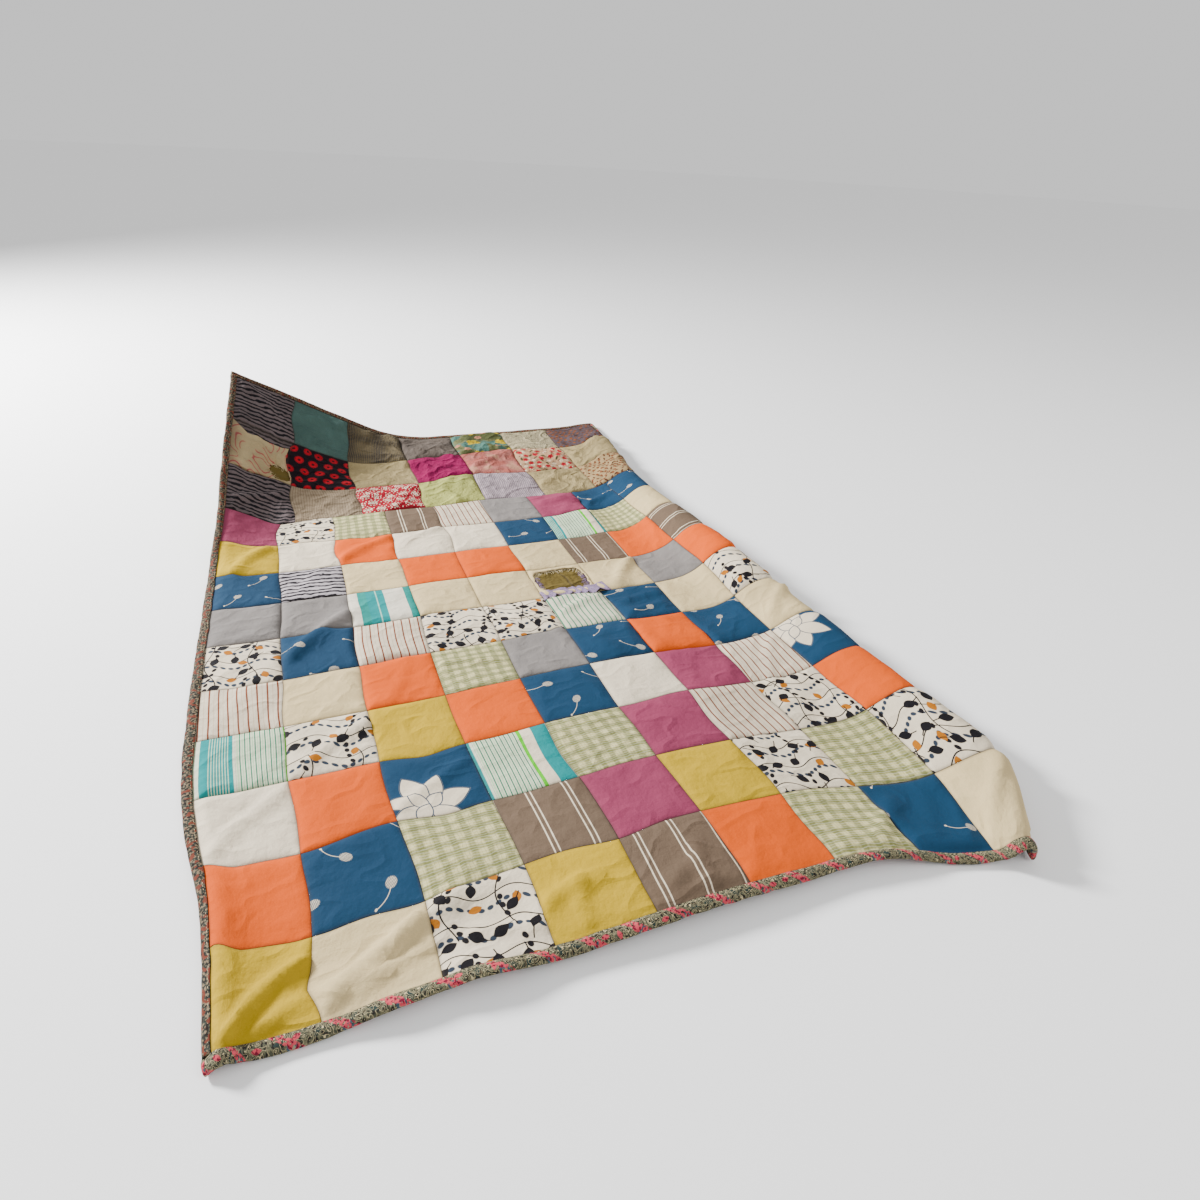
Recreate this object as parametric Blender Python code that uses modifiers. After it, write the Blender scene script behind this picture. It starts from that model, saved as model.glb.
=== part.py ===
"""Patchwork quilt lying on a flat surface, one far corner lifted.

Frame: metres, +Z up, +X across the quilt, +Y along it from the near end to the
far end. The origin is under the middle of the bounding box, on the surface.
Every sheet is offset from one shared surface, so layers never cross.
"""
import math

import bmesh
import bpy
import numpy as np

# ---- sizes of the quilt laid flat -------------------------------------------
PATCH = 0.15                 # side of a main patch
COLUMNS, ROWS = 9, 10        # main patches across and along
HEAD_COLUMNS, HEAD_ROWS = 7, 3
WIDTH = COLUMNS * PATCH
HEAD_PATCH = WIDTH / HEAD_COLUMNS
JOIN = ROWS * PATCH          # where the head section is sewn on
LENGTH = JOIN + HEAD_ROWS * HEAD_PATCH
RIM = 0.0165                 # how far front and backing run inside the binding
BINDING = 0.0185             # width of the binding beyond the patches

# ---- thicknesses -------------------------------------------------------------
GAP = 0.0003
BINDING_GAP = 0.0009         # room in the fold of the binding
JOIN_GAP = 0.0010            # between the two fronts, where their seam is
BACKING_T = 0.0022           # reverse cloth with its thin filling
FRONT_T = 0.0015             # pieced front
LINING_T = 0.0007
BINDING_T = 0.0010
FLAP_T = 0.0010
FRONT_LOW = BACKING_T + GAP
FRONT_TOP = FRONT_LOW + FRONT_T

# ---- grid shared by every sheet ---------------------------------------------
STEP = 0.075
U_EXTRA = (0.030, 0.125, 0.190, 0.765, 0.885, 1.243, 1.302, 1.326)
V_EXTRA = (0.032, 0.925, 1.020, 1.700, 1.765)
MERGE = 0.018                # a regular line this close to an extra one is left out

# ---- where the sheet is bent -------------------------------------------------
LIFT_FROM = (0.0, 1.16)      # the far left corner is lifted beyond this line
LIFT_TO = (0.70, 2.079)
LIFT_ANGLE = math.radians(38.0)
LIFT_CURVE = 0.20            # length of cloth over which it turns

# how each turned-down side is bent: radius, steepness, width of the ridge's inner flank
RIGHT_BEND = (0.022, math.radians(82.0), 0.10)
LEFT_BEND = (0.030, math.radians(30.0), 0.05)

# the quilt narrows towards its far end
TAPER = (
    # v, share of the full width
    (-0.02, 1.010), (0.30, 1.000), (0.75, 0.985), (1.20, 0.955), (1.60, 0.940), (2.10, 0.940),
)

# the edges are not straight: cloth pulled sideways, and towards the near right corner
SWAY = (
    # v, shift to the right
    (-0.02, 0.028), (0.20, 0.024), (0.36, 0.008), (0.50, 0.000), (1.00, -0.004), (1.50, -0.006), (2.10, 0.002),
)
CORNER_SAG = 0.074
# where the right side is drawn in
RIGHT_TUCK = (
    # v, shift to the left
    (-0.02, 0.0), (0.50, 0.004), (0.75, 0.016), (0.90, 0.004), (1.05, 0.010), (1.20, 0.024),
    (1.35, 0.034), (1.50, 0.034), (1.72, 0.020), (2.10, 0.004),
)
LEFT_TUCK = (
    # v, shift to the right
    (-0.02, 0.036), (0.10, 0.026), (0.25, 0.024), (0.36, 0.010), (0.50, 0.0), (2.10, 0.0),
)
CORNER_TUCK = (0.030, 0.100)  # the near right corner is drawn in further: beside it, and at it

# height of the ridge along each side, where the cloth then turns down to the surface
RIGHT_RIDGE = (
    # v, height
    (-0.02, 0.034), (0.06, 0.038), (0.16, 0.046), (0.32, 0.050), (0.60, 0.052), (0.74, 0.060),
    (0.88, 0.078), (1.02, 0.072), (1.18, 0.078), (1.34, 0.066), (1.55, 0.054), (1.82, 0.034),
    (2.10, 0.006),
)
LEFT_RIDGE = (
    # v, height
    (-0.02, 0.010), (0.04, 0.014), (0.20, 0.014), (0.29, 0.006), (0.36, 0.0), (2.10, 0.0),
)

# soft swells and hollows
SWELLS = (
    # u, v, half width, half length, turn in degrees, rise
    (0.78, 0.50, 0.38, 0.46, 0.0, 0.032),
    (0.66, 0.05, 0.36, 0.20, 0.0, 0.027),
    (0.44, 0.98, 0.22, 0.26, -25.0, 0.014),
    (0.02, 0.95, 0.12, 0.26, 0.0, 0.016),
    (0.00, 1.40, 0.14, 0.26, 20.0, 0.036),
    (0.62, 1.33, 0.14, 0.10, 0.0, 0.010),
    (1.02, 1.32, 0.07, 0.26, 8.0, 0.022),
    (1.16, 0.76, 0.09, 0.08, 0.0, -0.012),
    (0.95, 0.98, 0.12, 0.10, 30.0, -0.008),
)

# creases: soft ridges, or troughs where the rise is negative
CREASES = (
    # u0, v0, u1, v1, half width, rise
    (0.035, 0.020, 0.140, 0.120, 0.022, 0.010),
    (0.190, 0.045, 0.330, 0.125, 0.024, 0.011),
    (0.150, 0.030, 0.300, 0.040, 0.018, -0.006),
    (0.150, 0.800, 0.300, 0.960, 0.035, 0.010),
    (0.280, 1.290, 0.420, 1.420, 0.030, 0.009),
    (0.820, 0.400, 1.060, 0.520, 0.050, 0.006),
    (1.080, 0.350, 1.260, 0.560, 0.045, 0.007),
    (0.900, 1.420, 1.080, 1.470, 0.028, 0.008),
    (0.480, 1.760, 0.840, 1.840, 0.045, 0.010),
    (0.860, 1.640, 1.100, 1.700, 0.030, 0.008),
)

# places where the near edge stands up and its underside shows
NEAR_CURLS = (
    # u, half length, rise
    (0.235, 0.060, 0.012),
    (0.350, 0.075, 0.019),
    (0.980, 0.085, 0.015),
)
NEAR_CURL_WIDTH = 0.060

FLOOR_CUT = 0.006            # swells lower than this lie flat on the surface
EDGE_ROOM = BINDING_T + BINDING_GAP + 0.0002  # the sheet rises this much to make room for binding

ORIGIN = (0.6747, 1.0021)    # middle of the bounding box in laid-out plan

# ---- colours -----------------------------------------------------------------
COLOURS = {
    "patchwork_main": (0.78, 0.72, 0.62),
    "patchwork_head": (0.52, 0.46, 0.42),
    "backing": (0.36, 0.33, 0.33),
    "olive_lining_main": (0.30, 0.25, 0.07),
    "olive_lining_head": (0.30, 0.25, 0.07),
    "torn_flap": (0.50, 0.45, 0.56),
    "binding_near": (0.38, 0.36, 0.30),
    "binding_far": (0.34, 0.26, 0.20),
    "binding_left": (0.38, 0.36, 0.30),
    "binding_right": (0.38, 0.36, 0.30),
}


def smooth(t):
    """Zero below 0, one above 1, soft between."""
    t = np.clip(t, 0.0, 1.0)
    return t * t * (3.0 - 2.0 * t)


def along(table, v):
    """Soft curve through a short table of (v, value)."""
    spots = [row[0] for row in table]
    values = [row[1] for row in table]
    total = 0.0
    for shift in (-0.06, -0.03, 0.0, 0.03, 0.06):
        total = total + np.interp(np.asarray(v) + shift, spots, values)
    return total / 5.0


def swell(u, v, row):
    """One turned bell."""
    u0, v0, across, length, turn, rise = row
    c, s = math.cos(math.radians(turn)), math.sin(math.radians(turn))
    a = (u - u0) * c + (v - v0) * s
    b = -(u - u0) * s + (v - v0) * c
    return rise * np.exp(-(a / across) ** 2 - (b / length) ** 2)


def crease(u, v, row):
    """One soft ridge along a short line, fading at both ends."""
    u0, v0, u1, v1, half, rise = row
    du, dv = u1 - u0, v1 - v0
    length = math.hypot(du, dv)
    a = ((u - u0) * du + (v - v0) * dv) / length
    b = ((u - u0) * -dv + (v - v0) * du) / length
    past = np.maximum(np.maximum(-a, a - length), 0.0)
    return rise * np.exp(-(b / half) ** 2 - (past / (1.4 * half)) ** 2)


def ridge(inward, height, bend):
    """A ridge along a side, seen at a distance in from its edge.

    The cloth rises to the ridge over its flank, turns down over the radius and
    runs down steeply to the surface.
    """
    radius, steep, flank = bend
    arc = radius * steep
    arc_drop = radius * (1.0 - math.cos(steep))
    low = radius * np.arccos(np.clip(1.0 - height / radius, -1.0, 1.0))
    reach = np.where(height < arc_drop, low, arc + (height - arc_drop) / math.sin(steep))
    past = np.maximum(reach - inward, 0.0)
    turned = radius * (1.0 - np.cos(np.minimum(past, arc) / radius))
    drop = turned + np.maximum(past - arc, 0.0) * math.sin(steep)
    rise = height * np.exp(-((inward - reach) / flank) ** 2)
    return np.where(past > 0.0, np.maximum(height - drop, 0.0), rise)


def relief(u, v):
    """Height of the lowest face over the surface, before the corner lift."""
    u, v = np.broadcast_arrays(np.asarray(u, float), np.asarray(v, float))
    body = sum(swell(u, v, row) for row in SWELLS)
    body = body + sum(crease(u, v, row) for row in CREASES)
    z = body * smooth((1.34 - u) / 0.18) - FLOOR_CUT
    z = np.where(z <= 0.0, 0.0, np.where(z < 0.016, z * z / 0.032, z - 0.008))
    z = z + ridge(WIDTH + BINDING - u, along(RIGHT_RIDGE, v), RIGHT_BEND)
    z = z + ridge(u + BINDING, along(LEFT_RIDGE, v), LEFT_BEND)
    for u0, half, rise in NEAR_CURLS:
        edge = np.clip(1.0 - (v + BINDING) / (NEAR_CURL_WIDTH + BINDING), 0.0, 1.0)
        z = z + rise * np.exp(-((u - u0) / half) ** 2) * edge ** 1.6
    margin = np.minimum(np.minimum(u, WIDTH - u), np.minimum(v, LENGTH - v))
    return z + EDGE_ROOM * (1.0 - smooth((margin - 0.002) / 0.07))


def travel(slope_of, start, stop, samples=96):
    """Ground covered by cloth running from start to stop over a slope."""
    t = (np.arange(samples) + 0.5) / samples
    span = (stop - start)[..., None]
    slope = slope_of(start[..., None] + span * t)
    return np.sum(np.sqrt(np.maximum(1.0 - slope ** 2, 0.05)), axis=-1) * span[..., 0] / samples


def drape(u, v):
    """Point of the shared surface for a point (u, v) of the flat cloth."""
    u, v = np.broadcast_arrays(np.asarray(u, float), np.asarray(v, float))
    h = 5e-4
    middle_u, middle_v = np.full(u.shape, 0.60), np.full(v.shape, 0.75)
    x = 0.60 + travel(lambda t: (relief(t + h, v[..., None]) - relief(t - h, v[..., None])) / (2 * h),
                      middle_u, u)
    y = 0.75 + travel(lambda t: (relief(u[..., None], t + h) - relief(u[..., None], t - h)) / (2 * h),
                      middle_v, v)
    z = relief(u, v)
    x = 0.5 * WIDTH + (x - 0.5 * WIDTH) * along(TAPER, v) + along(SWAY, v)
    x = x - along(RIGHT_TUCK, v) * smooth((u - 1.00) / 0.32)
    x = x - CORNER_TUCK[0] * smooth((u - 0.98) / 0.24) * (1.0 - smooth((v + 0.03) / 0.22))
    x = x - CORNER_TUCK[1] * smooth((u - 1.16) / 0.18) * (1.0 - smooth((v + 0.03) / 0.18))
    x = x + along(LEFT_TUCK, v) * (1.0 - smooth((u + BINDING) / 0.09))
    y = y - CORNER_SAG * smooth((u - 0.88) / 0.42) * (1.0 - smooth(v / 0.36))
    run = math.hypot(LIFT_TO[0] - LIFT_FROM[0], LIFT_TO[1] - LIFT_FROM[1])
    nx, ny = -(LIFT_TO[1] - LIFT_FROM[1]) / run, (LIFT_TO[0] - LIFT_FROM[0]) / run
    d = (x - LIFT_FROM[0]) * nx + (y - LIFT_FROM[1]) * ny
    radius = LIFT_CURVE / LIFT_ANGLE
    turn = LIFT_ANGLE * np.clip(d / LIFT_CURVE, 0.0, 1.0)
    rest = np.maximum(d - LIFT_CURVE, 0.0)
    ground = np.where(d < 0.0, d, radius * np.sin(turn) + rest * np.cos(turn)) - z * np.sin(turn)
    height = radius * (1.0 - np.cos(turn)) + rest * np.sin(turn) + z * np.cos(turn)
    return np.stack([x + nx * (ground - d) - ORIGIN[0],
                     y + ny * (ground - d) - ORIGIN[1],
                     height], axis=-1)


def lifted(u, v, offset):
    """Point at a distance from the shared surface along its normal."""
    h = 1e-3
    along_u = drape(u + h, v) - drape(u - h, v)
    along_v = drape(u, v + h) - drape(u, v - h)
    normal = np.cross(along_u, along_v)
    normal /= np.linalg.norm(normal, axis=-1, keepdims=True)
    return drape(u, v) + normal * np.asarray(offset, float)[..., None]


def grid_lines(stop, extra):
    """Regular lines, the extra ones, and the rim outside the patches."""
    regular = [i * STEP for i in range(int(stop / STEP) + 1)]
    if stop - regular[-1] < 0.5 * STEP:
        regular.pop()
    kept = [r for r in regular if r == 0.0 or all(abs(r - e) > MERGE for e in extra)]
    return np.array(sorted([-RIM, *kept, *extra, stop, stop + RIM]))


def torn_shape(u, v):
    """Round the two openings by moving their corner points."""
    moves = (
        # from u, from v, to u, to v
        (0.765, 0.925, 0.772, 0.932), (0.885, 0.925, 0.879, 0.930),
        (0.765, 1.020, 0.776, 1.012), (0.885, 1.020, 0.876, 1.014),
        (0.825, 1.020, 0.822, 1.027), (0.765, 0.975, 0.761, 0.972),
        (0.125, 1.765, 0.136, 1.755), (0.125, 1.700, 0.121, 1.703),
    )
    for u0, v0, u1, v1 in moves:
        here = (np.abs(u - u0) < 1e-6) & (np.abs(v - v0) < 1e-6)
        u, v = np.where(here, u1, u), np.where(here, v1, v)
    return u, v


US = grid_lines(WIDTH, U_EXTRA)
VS = grid_lines(LENGTH, V_EXTRA)
MAIN_HOLE = (0.765, 0.885, 0.925, 1.020)
HEAD_HOLE = (0.125, 0.190, 1.700, 1.765)


def inside(box, u0, u1, v0, v1):
    """Whether a grid cell lies inside a box of the flat cloth."""
    e = 1e-6
    return u0 >= box[0] - e and u1 <= box[1] + e and v0 >= box[2] - e and v1 <= box[3] + e


def cloth(name, columns, rows, place, thickness, opening=None, crossed=None, clear=0.0):
    """A grid of cloth put in place by a function, with thickness on its outer side.

    clear is how far above the grid the cloth's lower face lies.
    """
    nu, nv = len(columns), len(rows)
    u, v = np.meshgrid(columns, rows)
    places = place(u, v)
    bm = bmesh.new()
    bmesh.ops.create_grid(bm, x_segments=nu - 1, y_segments=nv - 1, size=0.5)
    cell = {}
    for vert in bm.verts:
        i = round((vert.co.x + 0.5) * (nu - 1))
        j = round((vert.co.y + 0.5) * (nv - 1))
        cell[vert] = (i, j)
    for vert, (i, j) in cell.items():
        vert.co = places[j, i]
    if opening:
        cut = []
        for face in bm.faces:
            i = min(cell[p][0] for p in face.verts)
            j = min(cell[p][1] for p in face.verts)
            if inside(opening, columns[i], columns[i + 1], rows[j], rows[j + 1]):
                cut.append(face)
        bmesh.ops.delete(bm, geom=cut, context="FACES")
    turned = [f for f in bm.faces if crossed and crossed(min(cell[p][1] for p in f.verts))]
    straight = [f for f in bm.faces if f not in set(turned)]
    bmesh.ops.triangulate(bm, faces=straight, quad_method="FIXED")
    bmesh.ops.triangulate(bm, faces=turned, quad_method="ALTERNATE")
    mesh = bpy.data.meshes.new(name)
    bm.to_mesh(mesh)
    bm.free()
    mesh.shade_smooth()
    material = bpy.data.materials.new(name + "_cloth")
    material.use_nodes = True
    shader = material.node_tree.nodes["Principled BSDF"]
    shader.inputs["Base Color"].default_value = (*COLOURS[name], 1.0)
    shader.inputs["Roughness"].default_value = 0.9
    mesh.materials.append(material)
    piece = bpy.data.objects.new(name, mesh)
    solid = piece.modifiers.new("thickness", "SOLIDIFY")
    solid.thickness = thickness
    solid.offset = 1.0 + 2.0 * clear / thickness
    solid.use_rim = True
    solid.use_even_offset = True
    QUILT.objects.link(piece)
    return piece


def lying(u, v):
    """Place function of a whole sheet."""
    return drape(*torn_shape(u, v))


def clear_of(centre):
    """Place function of the inner cloth in an opening, kept off its edge."""
    def place(u, v):
        u, v = torn_shape(u, v)
        reach = np.maximum(np.hypot(u - centre[0], v - centre[1]), 1e-6)
        share = np.where(reach > 0.01, 1.0 - 0.002 / reach, 1.0)
        return drape(centre[0] + (u - centre[0]) * share, centre[1] + (v - centre[1]) * share)
    return place


def binding(name, side, stations):
    """A strip folded round the edges of front and backing, along one side."""
    low, high = -BINDING_GAP, FRONT_TOP + BINDING_GAP
    fold = (
        # distance out from the patches, offset
        (0.0, low), (RIM + BINDING_GAP, low), (RIM + BINDING_GAP + 0.0009, 0.5 * (low + high)),
        (RIM + BINDING_GAP, high), (0.0, high),
    )
    out, off = np.array(fold).T

    def place(s, q):
        o, k = np.interp(q, range(len(fold)), out), np.interp(q, range(len(fold)), off)
        u, v = {
            "near": (s, -o), "far": (WIDTH - s, LENGTH + o),
            "left": (-o, LENGTH - s), "right": (WIDTH + o, s),
        }[side]
        return lifted(u, v, k)

    # the same diagonals as in the sheets, so that the strip stays clear of them
    cloth(name, np.array(stations), np.arange(len(fold)), place, BINDING_T,
          crossed=lambda row: (row >= 2) != (side in ("far", "near")))


def ruffle(s, t):
    """Place function of the loose strip beside the worn-through patch."""
    waves = 5.5
    u = 0.748 + 0.176 * s
    v = 0.884 + 0.040 * t + 0.010 * np.sin(3.0 * s + 0.4)
    wave = 0.5 - 0.5 * np.cos(2.0 * math.pi * waves * s)
    rise = FRONT_TOP + GAP + 0.0015 + 0.0085 * (1.0 - 0.65 * t) * wave + 0.002 * (1.0 - t)
    return lifted(u, v, rise)


def main():
    """Build the quilt."""
    half = 0.5 * JOIN_GAP
    main_rows = [*[v for v in VS if v < JOIN - 1e-6], JOIN - half]
    head_rows = [JOIN + half, *[v for v in VS if v > JOIN + 1e-6]]
    cloth("patchwork_main", US, np.array(main_rows), lying, FRONT_T, MAIN_HOLE,
          clear=FRONT_LOW)
    cloth("patchwork_head", US, np.array(head_rows), lying, FRONT_T, HEAD_HOLE,
          clear=FRONT_LOW)
    cloth("backing", US, VS, lying, BACKING_T)
    for name, hole, centre in (("olive_lining_main", MAIN_HOLE, (0.825, 0.975)),
                               ("olive_lining_head", HEAD_HOLE, (0.168, 1.722))):
        columns = [u for u in US if hole[0] - 1e-6 <= u <= hole[1] + 1e-6]
        rows = [v for v in VS if hole[2] - 1e-6 <= v <= hole[3] + 1e-6]
        cloth(name, np.array(columns), np.array(rows), clear_of(centre), LINING_T,
              clear=FRONT_LOW)
    cloth("torn_flap", np.linspace(0.0, 1.0, 27), np.linspace(0.0, 1.0, 4), ruffle, FLAP_T)
    across = np.array([-BINDING + 0.001, *US[1:-1], WIDTH + BINDING - 0.001])
    down = np.array([GAP, *VS[2:-2], LENGTH - GAP])
    binding("binding_near", "near", across)
    binding("binding_far", "far", WIDTH - across[::-1])
    binding("binding_left", "left", LENGTH - down[::-1])
    binding("binding_right", "right", down)


for old in list(bpy.data.objects):
    bpy.data.objects.remove(old, do_unlink=True)
QUILT = bpy.data.collections.new("patchwork_quilt")
bpy.context.scene.collection.children.link(QUILT)
main()
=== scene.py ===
"""Worn patchwork quilt lying on a surface, its far left corner lifted.

The quilt is cut and sewn on a flat plan, where u runs across it and v along it in
metres, and the plan is then laid into the shape in which the quilt rests. Every
layer is a distance from that one shared shape, so front, backing, binding and
stitches stay in their order.
"""

from __future__ import annotations

import logging
import math
from collections.abc import Callable, Sequence
from dataclasses import dataclass
from enum import Enum

import bmesh
import bpy
import numpy as np
from mathutils import Matrix, Vector


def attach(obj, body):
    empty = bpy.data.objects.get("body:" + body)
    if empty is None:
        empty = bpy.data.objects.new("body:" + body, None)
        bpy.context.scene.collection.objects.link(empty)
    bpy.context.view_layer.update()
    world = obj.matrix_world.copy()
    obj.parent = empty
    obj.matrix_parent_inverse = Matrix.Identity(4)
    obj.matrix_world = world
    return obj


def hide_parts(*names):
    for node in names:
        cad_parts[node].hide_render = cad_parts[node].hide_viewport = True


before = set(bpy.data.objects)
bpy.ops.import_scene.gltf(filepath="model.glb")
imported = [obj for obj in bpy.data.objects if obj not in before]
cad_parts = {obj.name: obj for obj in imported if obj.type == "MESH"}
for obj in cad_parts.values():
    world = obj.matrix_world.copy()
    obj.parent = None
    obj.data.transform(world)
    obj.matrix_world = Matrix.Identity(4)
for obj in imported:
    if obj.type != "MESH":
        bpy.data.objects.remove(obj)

LOG = logging.getLogger("quilt")
Array = np.ndarray
Colour = tuple[float, float, float]
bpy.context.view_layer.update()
BODY = "root"
MAP = "cloth"
# name of the mesh attribute that says how near a seam each point is; the cloths darken there as painted
# shade, with some grime
SEAM_SHADE = "seam"
BASE_SHADE = 0.70
UP = "up"
AIM = "aim"


def as_colour(red: int, green: int, blue: int) -> Colour:
    """Turn a dye's everyday 0 to 255 values into scene light.

    Args:
        red: red share.
        green: green share.
        blue: blue share.

    Returns:
        The same colour in linear values.
    """
    return tuple(((c / 255.0 + 0.055) / 1.055) ** 2.4 for c in (red, green, blue))


def soft_step(t: Array) -> Array:
    """Return 0 below 0, 1 above 1, and a soft curve between."""
    t = np.clip(t, 0.0, 1.0)
    return t * t * (3.0 - 2.0 * t)


@dataclass(frozen=True)
class Ripple:
    """Smooth random relief with a fixed seed.

    Attributes:
        size: wavelength in metres across and along.
        seed: seed of the random values.
        turn: angle of the pattern in degrees.
    """

    size: tuple[float, float]
    seed: int
    turn: float = 0.0

    def __call__(self, u: Array, v: Array) -> Array:
        """Give the relief at points of the flat quilt.

        Args:
            u: places across.
            v: places along.

        Returns:
            Values between about -1 and 1.
        """
        count = 64
        grid = np.random.RandomState(self.seed).uniform(-1.0, 1.0, (count, count))
        c, s = math.cos(math.radians(self.turn)), math.sin(math.radians(self.turn))
        a = (u * c + v * s) / self.size[0] + 17.3
        b = (v * c - u * s) / self.size[1] + 23.9
        i, j = np.floor(a).astype(int), np.floor(b).astype(int)
        p, q = soft_step(a - i), soft_step(b - j)
        i0, j0, i1, j1 = i % count, j % count, (i + 1) % count, (j + 1) % count
        low = grid[i0, j0] * (1 - p) + grid[i1, j0] * p
        high = grid[i0, j1] * (1 - p) + grid[i1, j1] * p
        return low * (1 - q) + high * q


@dataclass(frozen=True)
class Plan:
    """Sizes of the quilt laid flat, in metres.

    Attributes:
        patch: side of a patch of the main section.
        columns, rows: patches of the main section.
        head_columns, head_rows: patches of the older head section.
        rim: how far the cloths run on into the binding.
        binding: how far the binding reaches out from the patches.
    """

    patch: float = 0.15
    columns: int = 9
    rows: int = 10
    head_columns: int = 7
    head_rows: int = 3
    rim: float = 0.0165
    binding: float = 0.0185

    @property
    def width(self) -> float:
        """Width between the bindings."""
        return self.columns * self.patch

    @property
    def join(self) -> float:
        """Where the older head section is sewn on."""
        return self.rows * self.patch

    @property
    def head_patch(self) -> float:
        """Side of a patch of the head section."""
        return self.width / self.head_columns

    @property
    def length(self) -> float:
        """Length between the bindings."""
        return self.join + self.head_rows * self.head_patch


PLAN = Plan()


@dataclass(frozen=True)
class Swell:
    """One soft hill or hollow of the cloth.

    Attributes:
        u, v: its middle.
        across, along: its reach both ways.
        turn: its angle in degrees.
        rise: its height, or depth where negative.
    """

    u: float
    v: float
    across: float
    along: float
    turn: float
    rise: float

    def height(self, u: Array, v: Array) -> Array:
        """Height that this swell adds at each point."""
        c, s = math.cos(math.radians(self.turn)), math.sin(math.radians(self.turn))
        a = (u - self.u) * c + (v - self.v) * s
        b = -(u - self.u) * s + (v - self.v) * c
        return self.rise * np.exp(-((a / self.across) ** 2) - (b / self.along) ** 2)


@dataclass(frozen=True)
class Crease:
    """One soft ridge, or trough where the rise is negative, along a short line.

    Attributes:
        u0, v0, u1, v1: its ends.
        half: half its width.
        rise: its height, or depth where negative.
        bow: how far its middle bends aside.
        lean: width of its other flank, as a share of the first.
    """

    u0: float
    v0: float
    u1: float
    v1: float
    half: float
    rise: float
    bow: float = 0.0
    lean: float = 1.0

    def height(self, u: Array, v: Array) -> Array:
        """Height that this crease adds at each point.

        Args:
            u: places across.
            v: places along.

        Returns:
            Heights, negative in a trough.
        """
        du, dv = self.u1 - self.u0, self.v1 - self.v0
        length = math.hypot(du, dv)
        a = ((u - self.u0) * du + (v - self.v0) * dv) / length
        b = ((u - self.u0) * -dv + (v - self.v0) * du) / length
        b = b - self.bow * 4.0 * (a / length) * (1.0 - np.clip(a / length, -0.5, 1.5))
        past = np.maximum(np.maximum(-a, a - length), 0.0)
        half = np.where(b > 0.0, self.half, self.half * self.lean)
        return self.rise * np.exp(-((b / half) ** 2) - (past / (1.4 * self.half)) ** 2)


@dataclass(frozen=True)
class Bend:
    """How a side of the quilt rises to a ridge and turns down to the surface.

    Attributes:
        radius: radius over which it turns down.
        steep: how steep it becomes, in radians.
        flank: width of the ridge's inner flank.
    """

    radius: float
    steep: float
    flank: float

    def height(self, inward: Array, ridge: Array) -> Array:
        """Height of the cloth at a distance in from its edge.

        Args:
            inward: distances from the edge.
            ridge: height of the ridge at each point.

        Returns:
            Heights over the surface.
        """
        arc = self.radius * self.steep
        arc_drop = self.radius * (1.0 - math.cos(self.steep))
        low = self.radius * np.arccos(np.clip(1.0 - ridge / self.radius, -1.0, 1.0))
        reach = np.where(ridge < arc_drop, low, arc + (ridge - arc_drop) / math.sin(self.steep))
        past = np.maximum(reach - inward, 0.0)
        turned = self.radius * (1.0 - np.cos(np.minimum(past, arc) / self.radius))
        drop = turned + np.maximum(past - arc, 0.0) * math.sin(self.steep)
        rise = ridge * np.exp(-(((inward - reach) / self.flank) ** 2))
        return np.where(past > 0.0, np.maximum(ridge - drop, 0.0), rise)


Table = tuple[tuple[float, float], ...]


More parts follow.
